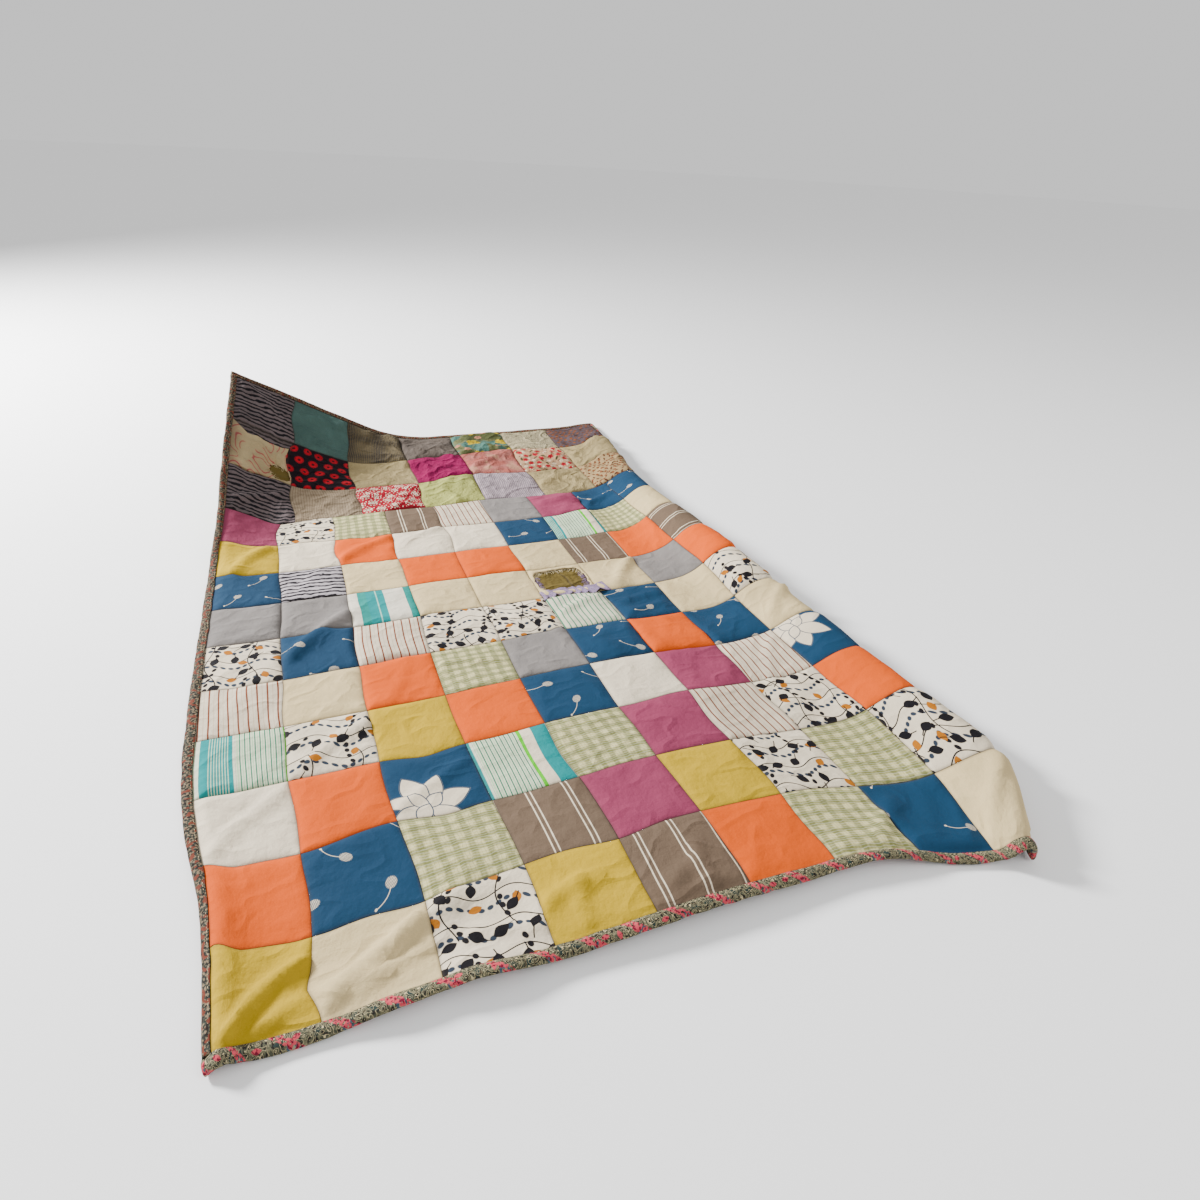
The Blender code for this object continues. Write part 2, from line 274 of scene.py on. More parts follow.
@dataclass(frozen=True)
class Lie:
    """The shape in which the quilt lies, shared by all of its layers.

    Attributes:
        lift_from, lift_to: line over which the far left corner is lifted.
        lift_angle, lift_curve: how far it turns up, and over what length.
        right_bend, left_bend: how the two sides turn down.
        right_ridge, left_ridge: height of the two side ridges along the quilt.
        taper: width of the quilt along it, as a share.
        sway: how far it bends aside along it.
        right_tuck, left_tuck: how far each side is drawn in along it.
        corner_tuck: how far the near right corner is drawn in, in two steps.
        swells, creases: its hills, hollows and large folds.
        near_curls: place, half width and rise of each curl of the near edge.
        curl_width: how far the curls run in.
        corner_sag: how far the near right corner is drawn forward.
        floor_cut: height that the surface takes away from the folds.
        floor_blend: height up to which the cloth eases off the surface.
        flat_side: where the folds end on the right, and over what width.
        least_run: least ground that a steep stretch covers, squared.
        anchor: plan place from which the ground is measured.
        edge_room: room for the binding under the edges.
        origin: plan place of the middle of the lying quilt.
    """

    lift_from: tuple[float, float] = (0.0, 1.16)
    lift_to: tuple[float, float] = (0.70, 2.079)
    lift_angle: float = math.radians(38.0)
    lift_curve: float = 0.20
    right_bend: Bend = Bend(0.022, math.radians(82.0), 0.10)
    left_bend: Bend = Bend(0.030, math.radians(30.0), 0.05)
    right_ridge: Table = (
        (-0.02, 0.034), (0.06, 0.038), (0.16, 0.046), (0.32, 0.050), (0.60, 0.052), (0.74, 0.060),
        (0.88, 0.078), (1.02, 0.072), (1.18, 0.078), (1.34, 0.066), (1.55, 0.054), (1.82, 0.034),
        (2.10, 0.006),
    )
    left_ridge: Table = (
        (-0.02, 0.010), (0.04, 0.014), (0.20, 0.014), (0.29, 0.006), (0.36, 0.0), (2.10, 0.0),
    )
    taper: Table = (
        (-0.02, 1.010), (0.30, 1.000), (0.75, 0.985), (1.20, 0.955), (1.60, 0.940), (2.10, 0.940),
    )
    sway: Table = (
        (-0.02, 0.028), (0.20, 0.024), (0.36, 0.008), (0.50, 0.000), (1.00, -0.004), (1.50, -0.006),
        (2.10, 0.002),
    )
    right_tuck: Table = (
        (-0.02, 0.0), (0.50, 0.004), (0.75, 0.016), (0.90, 0.004), (1.05, 0.010), (1.20, 0.024),
        (1.35, 0.034), (1.50, 0.034), (1.72, 0.020), (2.10, 0.004),
    )
    left_tuck: Table = (
        (-0.02, 0.036), (0.10, 0.026), (0.25, 0.024), (0.36, 0.010), (0.50, 0.0), (2.10, 0.0),
    )
    corner_tuck: tuple[float, float] = (0.030, 0.100)
    swells: tuple[Swell, ...] = (
        Swell(0.78, 0.50, 0.38, 0.46, 0.0, 0.032),
        Swell(0.66, 0.05, 0.36, 0.20, 0.0, 0.027),
        Swell(0.44, 0.98, 0.22, 0.26, -25.0, 0.014),
        Swell(0.02, 0.95, 0.12, 0.26, 0.0, 0.016),
        Swell(0.00, 1.40, 0.14, 0.26, 20.0, 0.036),
        Swell(0.62, 1.33, 0.14, 0.10, 0.0, 0.010),
        Swell(1.02, 1.32, 0.07, 0.26, 8.0, 0.022),
        Swell(1.16, 0.76, 0.09, 0.08, 0.0, -0.012),
        Swell(0.95, 0.98, 0.12, 0.10, 30.0, -0.008),
    )
    creases: tuple[Crease, ...] = (
        Crease(0.035, 0.020, 0.140, 0.120, 0.022, 0.010),
        Crease(0.190, 0.045, 0.330, 0.125, 0.024, 0.011),
        Crease(0.150, 0.030, 0.300, 0.040, 0.018, -0.006),
        Crease(0.150, 0.800, 0.300, 0.960, 0.035, 0.010),
        Crease(0.280, 1.290, 0.420, 1.420, 0.030, 0.009),
        Crease(0.820, 0.400, 1.060, 0.520, 0.050, 0.006),
        Crease(1.080, 0.350, 1.260, 0.560, 0.045, 0.007),
        Crease(0.900, 1.420, 1.080, 1.470, 0.028, 0.008),
        Crease(0.480, 1.760, 0.840, 1.840, 0.045, 0.010),
        Crease(0.860, 1.640, 1.100, 1.700, 0.030, 0.008),
    )
    near_curls: tuple[tuple[float, float, float], ...] = (
        (0.235, 0.060, 0.012), (0.350, 0.075, 0.019), (0.980, 0.085, 0.015),
    )
    curl_width: float = 0.060
    corner_sag: float = 0.074
    floor_cut: float = 0.006
    floor_blend: float = 0.016
    flat_side: tuple[float, float] = (1.34, 0.18)
    least_run: float = 0.05
    anchor: tuple[float, float] = (0.60, 0.75)
    edge_room: float = 0.0021
    origin: tuple[float, float] = (0.6747, 1.0021)

    @staticmethod
    def along(table: Sequence[tuple[float, float]], v: Array) -> Array:
        """Soft curve through a short table of places and values."""
        spots, values = zip(*table)
        shifts = (-0.06, -0.03, 0.0, 0.03, 0.06)
        return sum(np.interp(v + s, spots, values) for s in shifts) / len(shifts)

    def relief(self, u: Array, v: Array) -> Array:
        """Height of the quilt's lowest face, before the corner is lifted.

        Args:
            u: places across.
            v: places along.

        Returns:
            Heights over the surface.
        """
        u, v = np.broadcast_arrays(u, v)
        body = sum(part.height(u, v) for part in (*self.swells, *self.creases))
        z = body * soft_step((self.flat_side[0] - u) / self.flat_side[1]) - self.floor_cut
        blend = self.floor_blend
        z = np.where(z <= 0.0, 0.0, np.where(z < blend, z * z / (2.0 * blend), z - 0.5 * blend))
        z = z + self.right_bend.height(PLAN.width + PLAN.binding - u, self.along(self.right_ridge, v))
        z = z + self.left_bend.height(u + PLAN.binding, self.along(self.left_ridge, v))
        span = self.curl_width + PLAN.binding
        for u0, half, rise in self.near_curls:
            edge = np.clip(1.0 - (v + PLAN.binding) / span, 0.0, 1.0)
            z = z + rise * np.exp(-(((u - u0) / half) ** 2)) * edge**1.6
        margin = np.minimum(np.minimum(u, PLAN.width - u), np.minimum(v, PLAN.length - v))
        return z + self.edge_room * (1.0 - soft_step((margin - 0.002) / 0.07))

    def travel(self, slope: Callable[[Array], Array], start: Array, stop: Array) -> Array:
        """Ground covered by cloth that runs over a slope.

        Args:
            slope: rise of the cloth for each metre of it.
            start: where each stretch starts.
            stop: where each stretch stops.

        Returns:
            Ground covered by each stretch.
        """
        samples = 96
        t = (np.arange(samples) + 0.5) / samples
        span = (stop - start)[..., None]
        rise = slope(start[..., None] + span * t)
        run = np.sqrt(np.maximum(1.0 - rise**2, self.least_run))
        return run.sum(axis=-1) * span[..., 0] / samples

    def drape(self, u: Array, v: Array) -> Array:
        """Place of each point of the flat cloth in the lying quilt.

        Args:
            u: places across.
            v: places along.

        Returns:
            Points, one row each, in the last axis.
        """
        u, v = (np.array(a, float) for a in np.broadcast_arrays(u, v))
        h = 5e-4
        u0, v0 = self.anchor
        x = u0 + self.travel(
            lambda t: (self.relief(t + h, v[..., None]) - self.relief(t - h, v[..., None])) / (2 * h),
            np.full(u.shape, u0), u)
        y = v0 + self.travel(
            lambda t: (self.relief(u[..., None], t + h) - self.relief(u[..., None], t - h)) / (2 * h),
            np.full(v.shape, v0), v)
        z = self.relief(u, v)
        half = 0.5 * PLAN.width
        x = half + (x - half) * self.along(self.taper, v) + self.along(self.sway, v)
        near = v + 0.03
        x = x - self.along(self.right_tuck, v) * soft_step((u - 1.00) / 0.32)
        x = x - self.corner_tuck[0] * soft_step((u - 0.98) / 0.24) * (1.0 - soft_step(near / 0.22))
        x = x - self.corner_tuck[1] * soft_step((u - 1.16) / 0.18) * (1.0 - soft_step(near / 0.18))
        x = x + self.along(self.left_tuck, v) * (1.0 - soft_step((u + PLAN.binding) / 0.09))
        y = y - self.corner_sag * soft_step((u - 0.88) / 0.42) * (1.0 - soft_step(v / 0.36))
        du, dv = self.lift_to[0] - self.lift_from[0], self.lift_to[1] - self.lift_from[1]
        run = math.hypot(du, dv)
        nx, ny = -dv / run, du / run
        d = (x - self.lift_from[0]) * nx + (y - self.lift_from[1]) * ny
        radius = self.lift_curve / self.lift_angle
        turn = self.lift_angle * np.clip(d / self.lift_curve, 0.0, 1.0)
        rest = np.maximum(d - self.lift_curve, 0.0)
        ground = np.where(d < 0.0, d, radius * np.sin(turn) + rest * np.cos(turn)) - z * np.sin(turn)
        height = radius * (1.0 - np.cos(turn)) + rest * np.sin(turn) + z * np.cos(turn)
        return np.stack([x + nx * (ground - d) - self.origin[0],
                         y + ny * (ground - d) - self.origin[1], height], axis=-1)


class Ground:
    """The lying shape on a fine table, so that points are found quickly."""

    step = 0.006

    def __init__(self, lie: Lie) -> None:
        """Measure the shape once.

        Args:
            lie: the shape to measure.
        """
        edge = 0.03
        self.u0, self.v0 = -edge, -edge
        us = np.arange(-edge, PLAN.width + edge + self.step, self.step)
        vs = np.arange(-edge, PLAN.length + edge + self.step, self.step)
        u, v = np.meshgrid(us, vs)
        self.table = lie.drape(u, v)
        du = np.gradient(self.table, axis=1)
        dv = np.gradient(self.table, axis=0)
        normal = np.cross(du, dv)
        self.normals = normal / np.linalg.norm(normal, axis=-1, keepdims=True)

    def _read(self, table: Array, u: Array, v: Array) -> Array:
        """Read a table between its points."""
        a = np.clip((u - self.u0) / self.step, 0.0, table.shape[1] - 1.001)
        b = np.clip((v - self.v0) / self.step, 0.0, table.shape[0] - 1.001)
        i, j = a.astype(int), b.astype(int)
        p, q = (a - i)[..., None], (b - j)[..., None]
        low = table[j, i] * (1 - p) + table[j, i + 1] * p
        high = table[j + 1, i] * (1 - p) + table[j + 1, i + 1] * p
        return low * (1 - q) + high * q

    def at(self, u: Array, v: Array, offset: Array | float) -> Array:
        """Points at a distance above the shared shape.

        Args:
            u: places across.
            v: places along.
            offset: distance from the shape, outwards.

        Returns:
            Points, one row each, in the last axis.
        """
        u, v, offset = np.broadcast_arrays(u, v, offset)
        normal = self._read(self.normals, u, v)
        normal = normal / np.linalg.norm(normal, axis=-1, keepdims=True)
        return self._read(self.table, u, v) + normal * offset[..., None]


class Net:
    """Node tree of one cloth, written as sums on the cloth's own map."""

    def __init__(self, name: str) -> None:
        """Start an empty tree.

        Args:
            name: the material's name.
        """
        self.material = bpy.data.materials.new(name)
        self.material.use_nodes = True
        self.tree = self.material.node_tree
        self.shader = self.tree.nodes["Principled BSDF"]

    def node(self, kind: str, **settings: object) -> bpy.types.Node:
        """Add a node and set its own properties."""
        made = self.tree.nodes.new(kind)
        for key, value in settings.items():
            setattr(made, key, value)
        return made

    def feed(self, socket: bpy.types.NodeSocket, value: object) -> None:
        """Link a term to a socket, or set the socket's own value."""
        if isinstance(value, Term):
            self.tree.links.new(value.socket, socket)
        elif isinstance(value, tuple) and len(value) == 3 and socket.type == "RGBA":
            socket.default_value = (*value, 1.0)
        else:
            socket.default_value = value

    def maths(self, operation: str, *terms: object, clamp: bool = False) -> Term:
        """Add one Math node."""
        made = self.node("ShaderNodeMath", operation=operation, use_clamp=clamp)
        for socket, term in zip(made.inputs, terms):
            self.feed(socket, term)
        return Term(self, made.outputs[0])

    def plane(self) -> tuple[Term, Term]:
        """Coordinates of the cloth in metres, across and along its weave."""
        uv = self.node("ShaderNodeUVMap", uv_map=MAP)
        split = self.node("ShaderNodeSeparateXYZ")
        self.tree.links.new(uv.outputs[0], split.inputs[0])
        return Term(self, split.outputs[0]), Term(self, split.outputs[1])

    def joined(self, x: object, y: object) -> Term:
        """Join two coordinates into a vector."""
        made = self.node("ShaderNodeCombineXYZ")
        self.feed(made.inputs[0], x)
        self.feed(made.inputs[1], y)
        return Term(self, made.outputs[0])

    def noise(self, x: object, y: object, scale: float, detail: float = 2.0, rough: float = 0.5) -> Term:
        """Smooth noise of about 0 to 1."""
        made = self.node("ShaderNodeTexNoise", noise_dimensions="2D")
        self.feed(made.inputs["Vector"], self.joined(x, y))
        made.inputs["Scale"].default_value = scale
        made.inputs["Detail"].default_value = detail
        made.inputs["Roughness"].default_value = rough
        return Term(self, made.outputs["Fac"])

    def chance(self, x: object, y: object) -> tuple[Term, Term, Term]:
        """Three random numbers that are fixed for a whole cell."""
        made = self.node("ShaderNodeTexWhiteNoise", noise_dimensions="2D")
        self.feed(made.inputs["Vector"], self.joined(x, y))
        split = self.node("ShaderNodeSeparateColor")
        self.tree.links.new(made.outputs["Color"], split.inputs[0])
        return tuple(Term(self, s) for s in split.outputs[:3])

    def attribute(self, name: str) -> Term:
        """Read a number stored on the mesh."""
        made = self.node("ShaderNodeAttribute", attribute_name=name)
        return Term(self, made.outputs["Fac"])

    def mix(self, share: object, low: object, high: object, blend: str = "MIX") -> Term:
        """Mix two colours by a share."""
        made = self.node("ShaderNodeMix", data_type="RGBA", blend_type=blend)
        self.feed(made.inputs[0], share)
        self.feed(made.inputs[6], low)
        self.feed(made.inputs[7], high)
        return Term(self, made.outputs[2])

    def grey(self, value: Term) -> Term:
        """Turn a number into a grey colour."""
        made = self.node("ShaderNodeCombineColor")
        for socket in made.inputs[:3]:
            self.feed(socket, value)
        return Term(self, made.outputs[0])

    def cells(self, x: Term, y: Term, wide: float, high: float, stagger: float = 0.0) -> Cell:
        """Tile the cloth into cells, each with its own centre and chances."""
        row = (y / high).floor()
        shifted = x / wide + row * stagger
        column = shifted.floor()
        return Cell(self, (shifted - column - 0.5) * wide, (y / high - row - 0.5) * high,
                    self.chance(column + 0.37, row + 0.61))


class Term:
    """A number in a node tree, with the usual signs."""

    def __init__(self, net: Net, socket: bpy.types.NodeSocket) -> None:
        """Hold a socket of a tree."""
        self.net, self.socket = net, socket

    def __add__(self, other: object) -> Term:
        """Sum."""
        return self.net.maths("ADD", self, other)

    def __sub__(self, other: object) -> Term:
        """Difference."""
        return self.net.maths("SUBTRACT", self, other)

    def __rsub__(self, other: object) -> Term:
        """Difference from a plain number."""
        return self.net.maths("SUBTRACT", other, self)

    def __mul__(self, other: object) -> Term:
        """Product."""
        return self.net.maths("MULTIPLY", self, other)

    def __truediv__(self, other: object) -> Term:
        """Quotient."""
        return self.net.maths("DIVIDE", self, other)

    __radd__, __rmul__ = __add__, __mul__

    def floor(self) -> Term:
        """Whole part."""
        return self.net.maths("FLOOR", self)

    def part(self) -> Term:
        """Part after the point."""
        return self.net.maths("FRACT", self)

    def beat(self, pitch: float) -> Term:
        """Distance from the middle of the nearest of many even bands, in shares of their pitch."""
        return ((self / pitch).part() - 0.5).size()

    def size(self) -> Term:
        """Size without sign."""
        return self.net.maths("ABSOLUTE", self)

    def sine(self) -> Term:
        """Sine of an angle in radians."""
        return self.net.maths("SINE", self)

    def cosine(self) -> Term:
        """Cosine of an angle in radians."""
        return self.net.maths("COSINE", self)

    def angle(self, other: Term) -> Term:
        """Angle of the point (other, self)."""
        return self.net.maths("ARCTAN2", self, other)

    def reach(self, other: Term) -> Term:
        """Length of the vector (self, other)."""
        return self.net.maths("SQRT", self * self + other * other)

    def below(self, limit: object, soft: float) -> Term:
        """1 where this is under a limit, 0 over it, with a soft edge."""
        return self.net.maths("ADD", (limit - self if isinstance(limit, Term)
                                      else self.net.maths("SUBTRACT", limit, self)) / soft, 0.5, clamp=True)

    def above(self, limit: object, soft: float) -> Term:
        """1 where this is over a limit, 0 under it, with a soft edge."""
        return self.net.maths("ADD", (self - limit) / soft, 0.5, clamp=True)

    def least(self, other: object) -> Term:
        """Smaller of the two."""
        return self.net.maths("MINIMUM", self, other)

    def most(self, other: object) -> Term:
        """Larger of the two."""
        return self.net.maths("MAXIMUM", self, other)


@dataclass
class Cell:
    """A point seen from the centre of its tile.

    Attributes:
        net: the tree.
        x, y: place seen from the middle of the tile.
        chance: three random numbers of the tile.
    """

    net: Net
    x: Term
    y: Term
    chance: tuple[Term, Term, Term]

    def moved(self, reach: float) -> Cell:
        """Shift the motif by chance, up to a distance each way."""
        return Cell(self.net, self.x + (self.chance[0] - 0.5) * (2 * reach),
                    self.y + (self.chance[1] - 0.5) * (2 * reach), self.chance)

    def turned(self, most: float = 2 * math.pi, start: float = 0.0) -> Cell:
        """Turn the motif by chance, up to an angle."""
        angle = self.chance[2] * most + start
        c, s = angle.cosine(), angle.sine()
        return Cell(self.net, self.x * c + self.y * s, self.y * c - self.x * s, self.chance)

    def oval(self, a: float, b: float, dx: float = 0.0, dy: float = 0.0, soft: float = 0.25) -> Term:
        """Filled oval."""
        return ((self.x - dx) / a).reach((self.y - dy) / b).below(1.0, soft)

    def leaf(self, long: float, wide: float, dx: float = 0.0, soft: float = 0.0010) -> Term:
        """Filled leaf, pointed at both ends."""
        along = ((self.x - dx) / long).size().least(1.0)
        across = self.y.size().below((1.0 - along * along) * wide, soft)
        return across * (self.x - dx).size().below(long, soft)

    def stem(self, x0: float, x1: float, bow: float, thick: float) -> Term:
        """Curved thin line from x0 to x1."""
        line = (self.y - self.x * self.x * bow).size().below(thick, 0.0006)
        return line * self.x.above(x0, 0.001) * self.x.below(x1, 0.001)

    def petals(self, count: int, outer: float, depth: float, soft: float = 0.001) -> Term:
        """Filled flower with round petals."""
        wave = (self.y.angle(self.x) * (count / 2.0)).cosine().size()
        return self.x.reach(self.y).below(wave * (outer * depth) + outer * (1.0 - depth), soft)


Layers = list[tuple[Term, Colour]]
# a print takes a cloth's net and the place on the cloth, and gives its layers from the lowest up
Motif = Callable[[Net, Term, Term], Layers]


class Dye:
    """Everyday colours of the cloths and their prints."""

    WHITE = as_colour(244, 228, 200)
    CREAM = as_colour(226, 202, 150)
    BLACK = as_colour(24, 22, 26)
    MUSTARD = as_colour(203, 168, 34)
    OCHRE = as_colour(186, 112, 20)
    ORANGE = as_colour(240, 96, 8)
    BLUE = as_colour(26, 64, 94)
    SLATE = as_colour(50, 60, 74)
    TAUPE = as_colour(114, 95, 78)
    MAUVE = as_colour(154, 64, 94)
    GREY = as_colour(138, 132, 128)
    TEAL = as_colour(20, 146, 146)
    OLIVE = as_colour(106, 90, 42)
    RUST = as_colour(128, 62, 36)
    LILAC = as_colour(150, 128, 170)
    PINK = as_colour(214, 78, 90)


def sprigs(net: Net, x: Term, y: Term) -> Layers:
    """Leaves and berries on wandering stems, scattered on white."""
    wave = (x * 62.0).sine() * 0.009 + (x * 23.0 + 1.0).sine() * 0.006
    vine = ((y + wave) / 0.052).part() - 0.5
    cross = ((x + (y * 47.0).sine() * 0.010) / 0.081).part() - 0.5
    berry_row = net.cells(x + y * 0.15, y + wave + 0.020, 0.0135, 0.052)
    berry_side = net.cells(y * 0.98, x - (y * 31.0).sine() * 0.012, 0.015, 0.074)
    leaves = net.cells(x, y + 0.006, 0.039, 0.043, 0.5).moved(0.005).turned()
    small = net.cells(x + 0.02, y - 0.013, 0.058, 0.049, 0.5).moved(0.008).turned()
    return [
        (berry_row.oval(0.0050, 0.0040), Dye.SLATE),
        (berry_side.oval(0.0052, 0.0042) * (berry_side.chance[0]).above(0.35, 0.01), Dye.BLACK),
        (vine.size().below(0.022, 0.010), Dye.BLACK),
        (cross.size().below(0.014, 0.007) * ((y * 19.0).sine()).above(-0.2, 0.05), Dye.BLACK),
        (small.leaf(0.0105, 0.0068) * small.chance[1].above(0.35, 0.01), Dye.OCHRE),
        (leaves.leaf(0.0125, 0.0082) * leaves.chance[1].below(0.72, 0.01), Dye.BLACK),
        (leaves.stem(0.010, 0.026, 9.0, 0.0010) * leaves.chance[1].below(0.72, 0.01), Dye.BLACK),
    ]


def seed_heads(net: Net, x: Term, y: Term) -> Layers:
    """White seed heads on long bent stems."""
    spot = net.cells(x + 0.013, y + 0.01, 0.118, 0.086, 0.43).moved(0.016).turned(1.9, -0.9)
    head = spot.oval(0.0105, 0.0076, 0.025, 0.0052, 0.15)
    grain = ((spot.x + spot.y) * 1500.0).sine() * ((spot.x - spot.y) * 1500.0).sine()
    bud = spot.oval(0.0026, 0.0016, -0.022, 0.0046)
    return [
        (spot.stem(-0.023, 0.017, 9.0, 0.0005), Dye.WHITE),
        (bud, Dye.WHITE),
        (head * grain.below(0.0, 0.30), Dye.WHITE),
    ]


def big_flower(net: Net, x: Term, y: Term) -> Layers:
    """One large white flower with drawn petals."""
    outlines, blooms = [], []
    for turn, far, long, wide in (
        (0.2, 0.036, 0.040, 0.020), (1.1, 0.034, 0.036, 0.018), (1.9, 0.038, 0.040, 0.021),
        (2.8, 0.034, 0.038, 0.019), (3.7, 0.036, 0.042, 0.020), (4.6, 0.034, 0.036, 0.020),
        (5.5, 0.038, 0.040, 0.019), (0.7, 0.016, 0.022, 0.013), (2.3, 0.017, 0.022, 0.013),
        (4.1, 0.016, 0.023, 0.013),
    ):
        c, s = math.cos(turn), math.sin(turn)
        petal = Cell(net, x * c + y * s - far, y * c - x * s, (x, x, x))
        blooms.append(petal.leaf(long, wide))
        outlines.append(petal.leaf(long, wide) * petal.leaf(long - 0.0026, wide - 0.0018).below(0.5, 0.5))
    layers = []
    for bloom, outline in zip(blooms, outlines):
        layers += [(bloom, Dye.WHITE), (outline, Dye.BLUE)]
    return layers


def plaid(net: Net, x: Term, y: Term) -> Layers:
    """Soft green plaid of crinkled gauze."""
    drift = net.noise(x, y, 60.0, 1.0) * 0.006
    warp = (x + drift).beat(0.024)
    weft = (y + drift).beat(0.021)
    thin = (x - drift).beat(0.006)
    ribs = (y - drift).beat(0.0052)
    green = as_colour(112, 118, 60)
    return [
        (warp.below(0.24, 0.14) * 0.62, green),
        (weft.below(0.24, 0.14) * 0.62, green),
        (thin.below(0.10, 0.10) * 0.30, green),
        (ribs.below(0.12, 0.12) * 0.35, as_colour(240, 236, 214)),
    ]


def twin_stripes(net: Net, x: Term, y: Term) -> Layers:
    """Pairs of white pin stripes."""
    place = x.beat(0.062) * 0.062
    return [((place - 0.0042).size().below(0.0012, 0.0006), Dye.WHITE)]


def deckchair(net: Net, x: Term, y: Term) -> Layers:
    """Wide teal bands, a white strip, fine green stripes and a lime line."""
    place = (x / 0.300).part() * 0.300
    pale, lime = as_colour(196, 224, 190), as_colour(90, 206, 24)
    fine = x.beat(0.0085)
    grain = x.beat(0.0042)
    band = place.below(0.052, 0.0006).most((place - 0.180).size().below(0.015, 0.0006))
    inside = (place - 0.096).size().below(0.040, 0.0006).most((place - 0.250).size().below(0.042, 0.0006))
    return [
        (inside * fine.below(0.13, 0.06), as_colour(50, 130, 96)),
        (inside * fine.above(0.36, 0.08) * 0.6, as_colour(150, 214, 150)),
        ((place - 0.1405).size().below(0.0035, 0.0006), lime),
        (band, Dye.TEAL),
        (band * grain.below(0.20, 0.1) * (place - 0.030).size().below(0.016, 0.001), pale),
        ((place - 0.1545).size().below(0.0105, 0.001), Dye.WHITE),
    ]


def wide_bands(net: Net, x: Term, y: Term) -> Layers:
    """Wide teal and white bands."""
    place = (x / 0.110).part() * 0.110
    return [
        (place.below(0.062, 0.0006), Dye.TEAL),
        (place.below(0.020, 0.0006) * 0.5, as_colour(40, 150, 130)),
        ((place - 0.044).size().below(0.0015, 0.0006), as_colour(170, 216, 196)),
    ]


def striped(pitch: float, half: float, soft: float, dye: Colour) -> Motif:
    """Give a print of even stripes.

    Args:
        pitch: distance between stripes in metres.
        half: half a stripe's width, as a share of the pitch.
        soft: softness of its edges, as a share of the pitch.
        dye: colour of the stripes.

    Returns:
        The print.
    """
    return lambda net, x, y: [(x.beat(pitch).below(half, soft), dye)]


def checked(pitch: float, half: float, soft: float, share: float, dye: Colour) -> Motif:
    """Give a print of even lines both ways.

    Args:
        pitch: distance between lines in metres.
        half: half a line's width, as a share of the pitch.
        soft: softness of its edges, as a share of the pitch.
        share: how strongly the lines cover the cloth.
        dye: colour of the lines.

    Returns:
        The print.
    """
    return lambda net, x, y: [(line.beat(pitch).below(half, soft) * share, dye) for line in (x, y)]


def rust_stripes(net: Net, x: Term, y: Term) -> Layers:
    """Rust stripes with a fine line beside each."""
    place = x.beat(0.0175)
    line = ((x / 0.0175 + 0.5).part() - 0.5).size()
    return [(place.below(0.085, 0.05), Dye.RUST), (line.below(0.03, 0.03) * 0.5, as_colour(196, 150, 110))]


def tiger(net: Net, x: Term, y: Term) -> Layers:
    """Broken black waves."""
    bend = net.noise(x, y, 26.0, 2.0) * 0.018
    place = ((y + bend) / 0.0165).part() - 0.5
    width = net.noise(x * 2.0, y * 6.0, 22.0, 2.0) * 0.46 - 0.02
    return [(place.size().below(width, 0.06), Dye.BLACK),
            ((place.size() - 0.30).size().below(0.03, 0.03) * 0.5, Dye.SLATE)]


def kerchief(net: Net, x: Term, y: Term) -> Layers:
    """White drops, rings and dots on red."""
    drops = net.cells(x, y, 0.040, 0.036, 0.5).moved(0.003).turned()
    dots = net.cells(x + 0.009, y + 0.004, 0.012, 0.0115, 0.5)
    ring = (drops.x.reach(drops.y) - 0.0125).size()
    spokes = (drops.y.angle(drops.x) * 8.0).sine()
    return [
        (dots.oval(0.0019, 0.0019) * drops.x.reach(drops.y).above(0.017, 0.002), Dye.WHITE),
        (drops.leaf(0.0125, 0.0060), Dye.WHITE),
        (drops.leaf(0.0085, 0.0034), as_colour(108, 14, 30)),
        (drops.leaf(0.0045, 0.0016), Dye.WHITE),
        (ring.below(0.0013, 0.0008) * spokes.above(-0.2, 0.2), Dye.WHITE),
    ]


def daisies(net: Net, x: Term, y: Term) -> Layers:
    """Red daisies on black."""
    spot = net.cells(x, y, 0.046, 0.042, 0.5).moved(0.004).turned()
    centre = spot.x.reach(spot.y)
    return [
        (spot.petals(24, 0.0155, 0.34) * centre.above(0.0042, 0.001), as_colour(184, 14, 34)),
        (centre.below(0.0030, 0.001), as_colour(60, 10, 20)),
    ]


def pink_lines(net: Net, x: Term, y: Term) -> Layers:
    """Loose pink outlines on cream."""
    field = net.noise(x, y, 13.0, 0.6)
    lines = ((field * 7.0).part() - 0.5).size()
    mask = net.noise(x + 3.0, y + 5.0, 9.0, 0.0).above(0.46, 0.03)
    return [(lines.below(0.085, 0.05) * mask, as_colour(176, 84, 84)),
            (lines.below(0.30, 0.03) * mask * 0.18, as_colour(200, 130, 110))]


def scribbles(net: Net, x: Term, y: Term) -> Layers:
    """Thin dark loops on cream."""
    first = ((net.noise(x, y, 21.0, 0.0) * 9.0).part() - 0.5).size()
    second = ((net.noise(x + 2.0, y + 7.0, 17.0, 0.0) * 8.0).part() - 0.5).size()
    return [(first.below(0.045, 0.04), as_colour(40, 36, 32)),
            (second.below(0.035, 0.04) * 0.8, as_colour(64, 58, 46))]


def blurred_plaid(net: Net, x: Term, y: Term) -> Layers:
    """Large soft dark plaid with a fine thread check."""
    warp = x.beat(0.105)
    weft = y.beat(0.092)
    thread_x = x.beat(0.0058)
    thread_y = y.beat(0.0058)
    tan = as_colour(150, 128, 84)
    return [
        (warp.below(0.20, 0.22) * 0.75, as_colour(34, 38, 48)),
        (weft.below(0.17, 0.22) * 0.75, as_colour(30, 34, 42)),
        (thread_x.below(0.10, 0.08) * 0.55, tan),
        (thread_y.below(0.10, 0.08) * 0.55, tan),
    ]


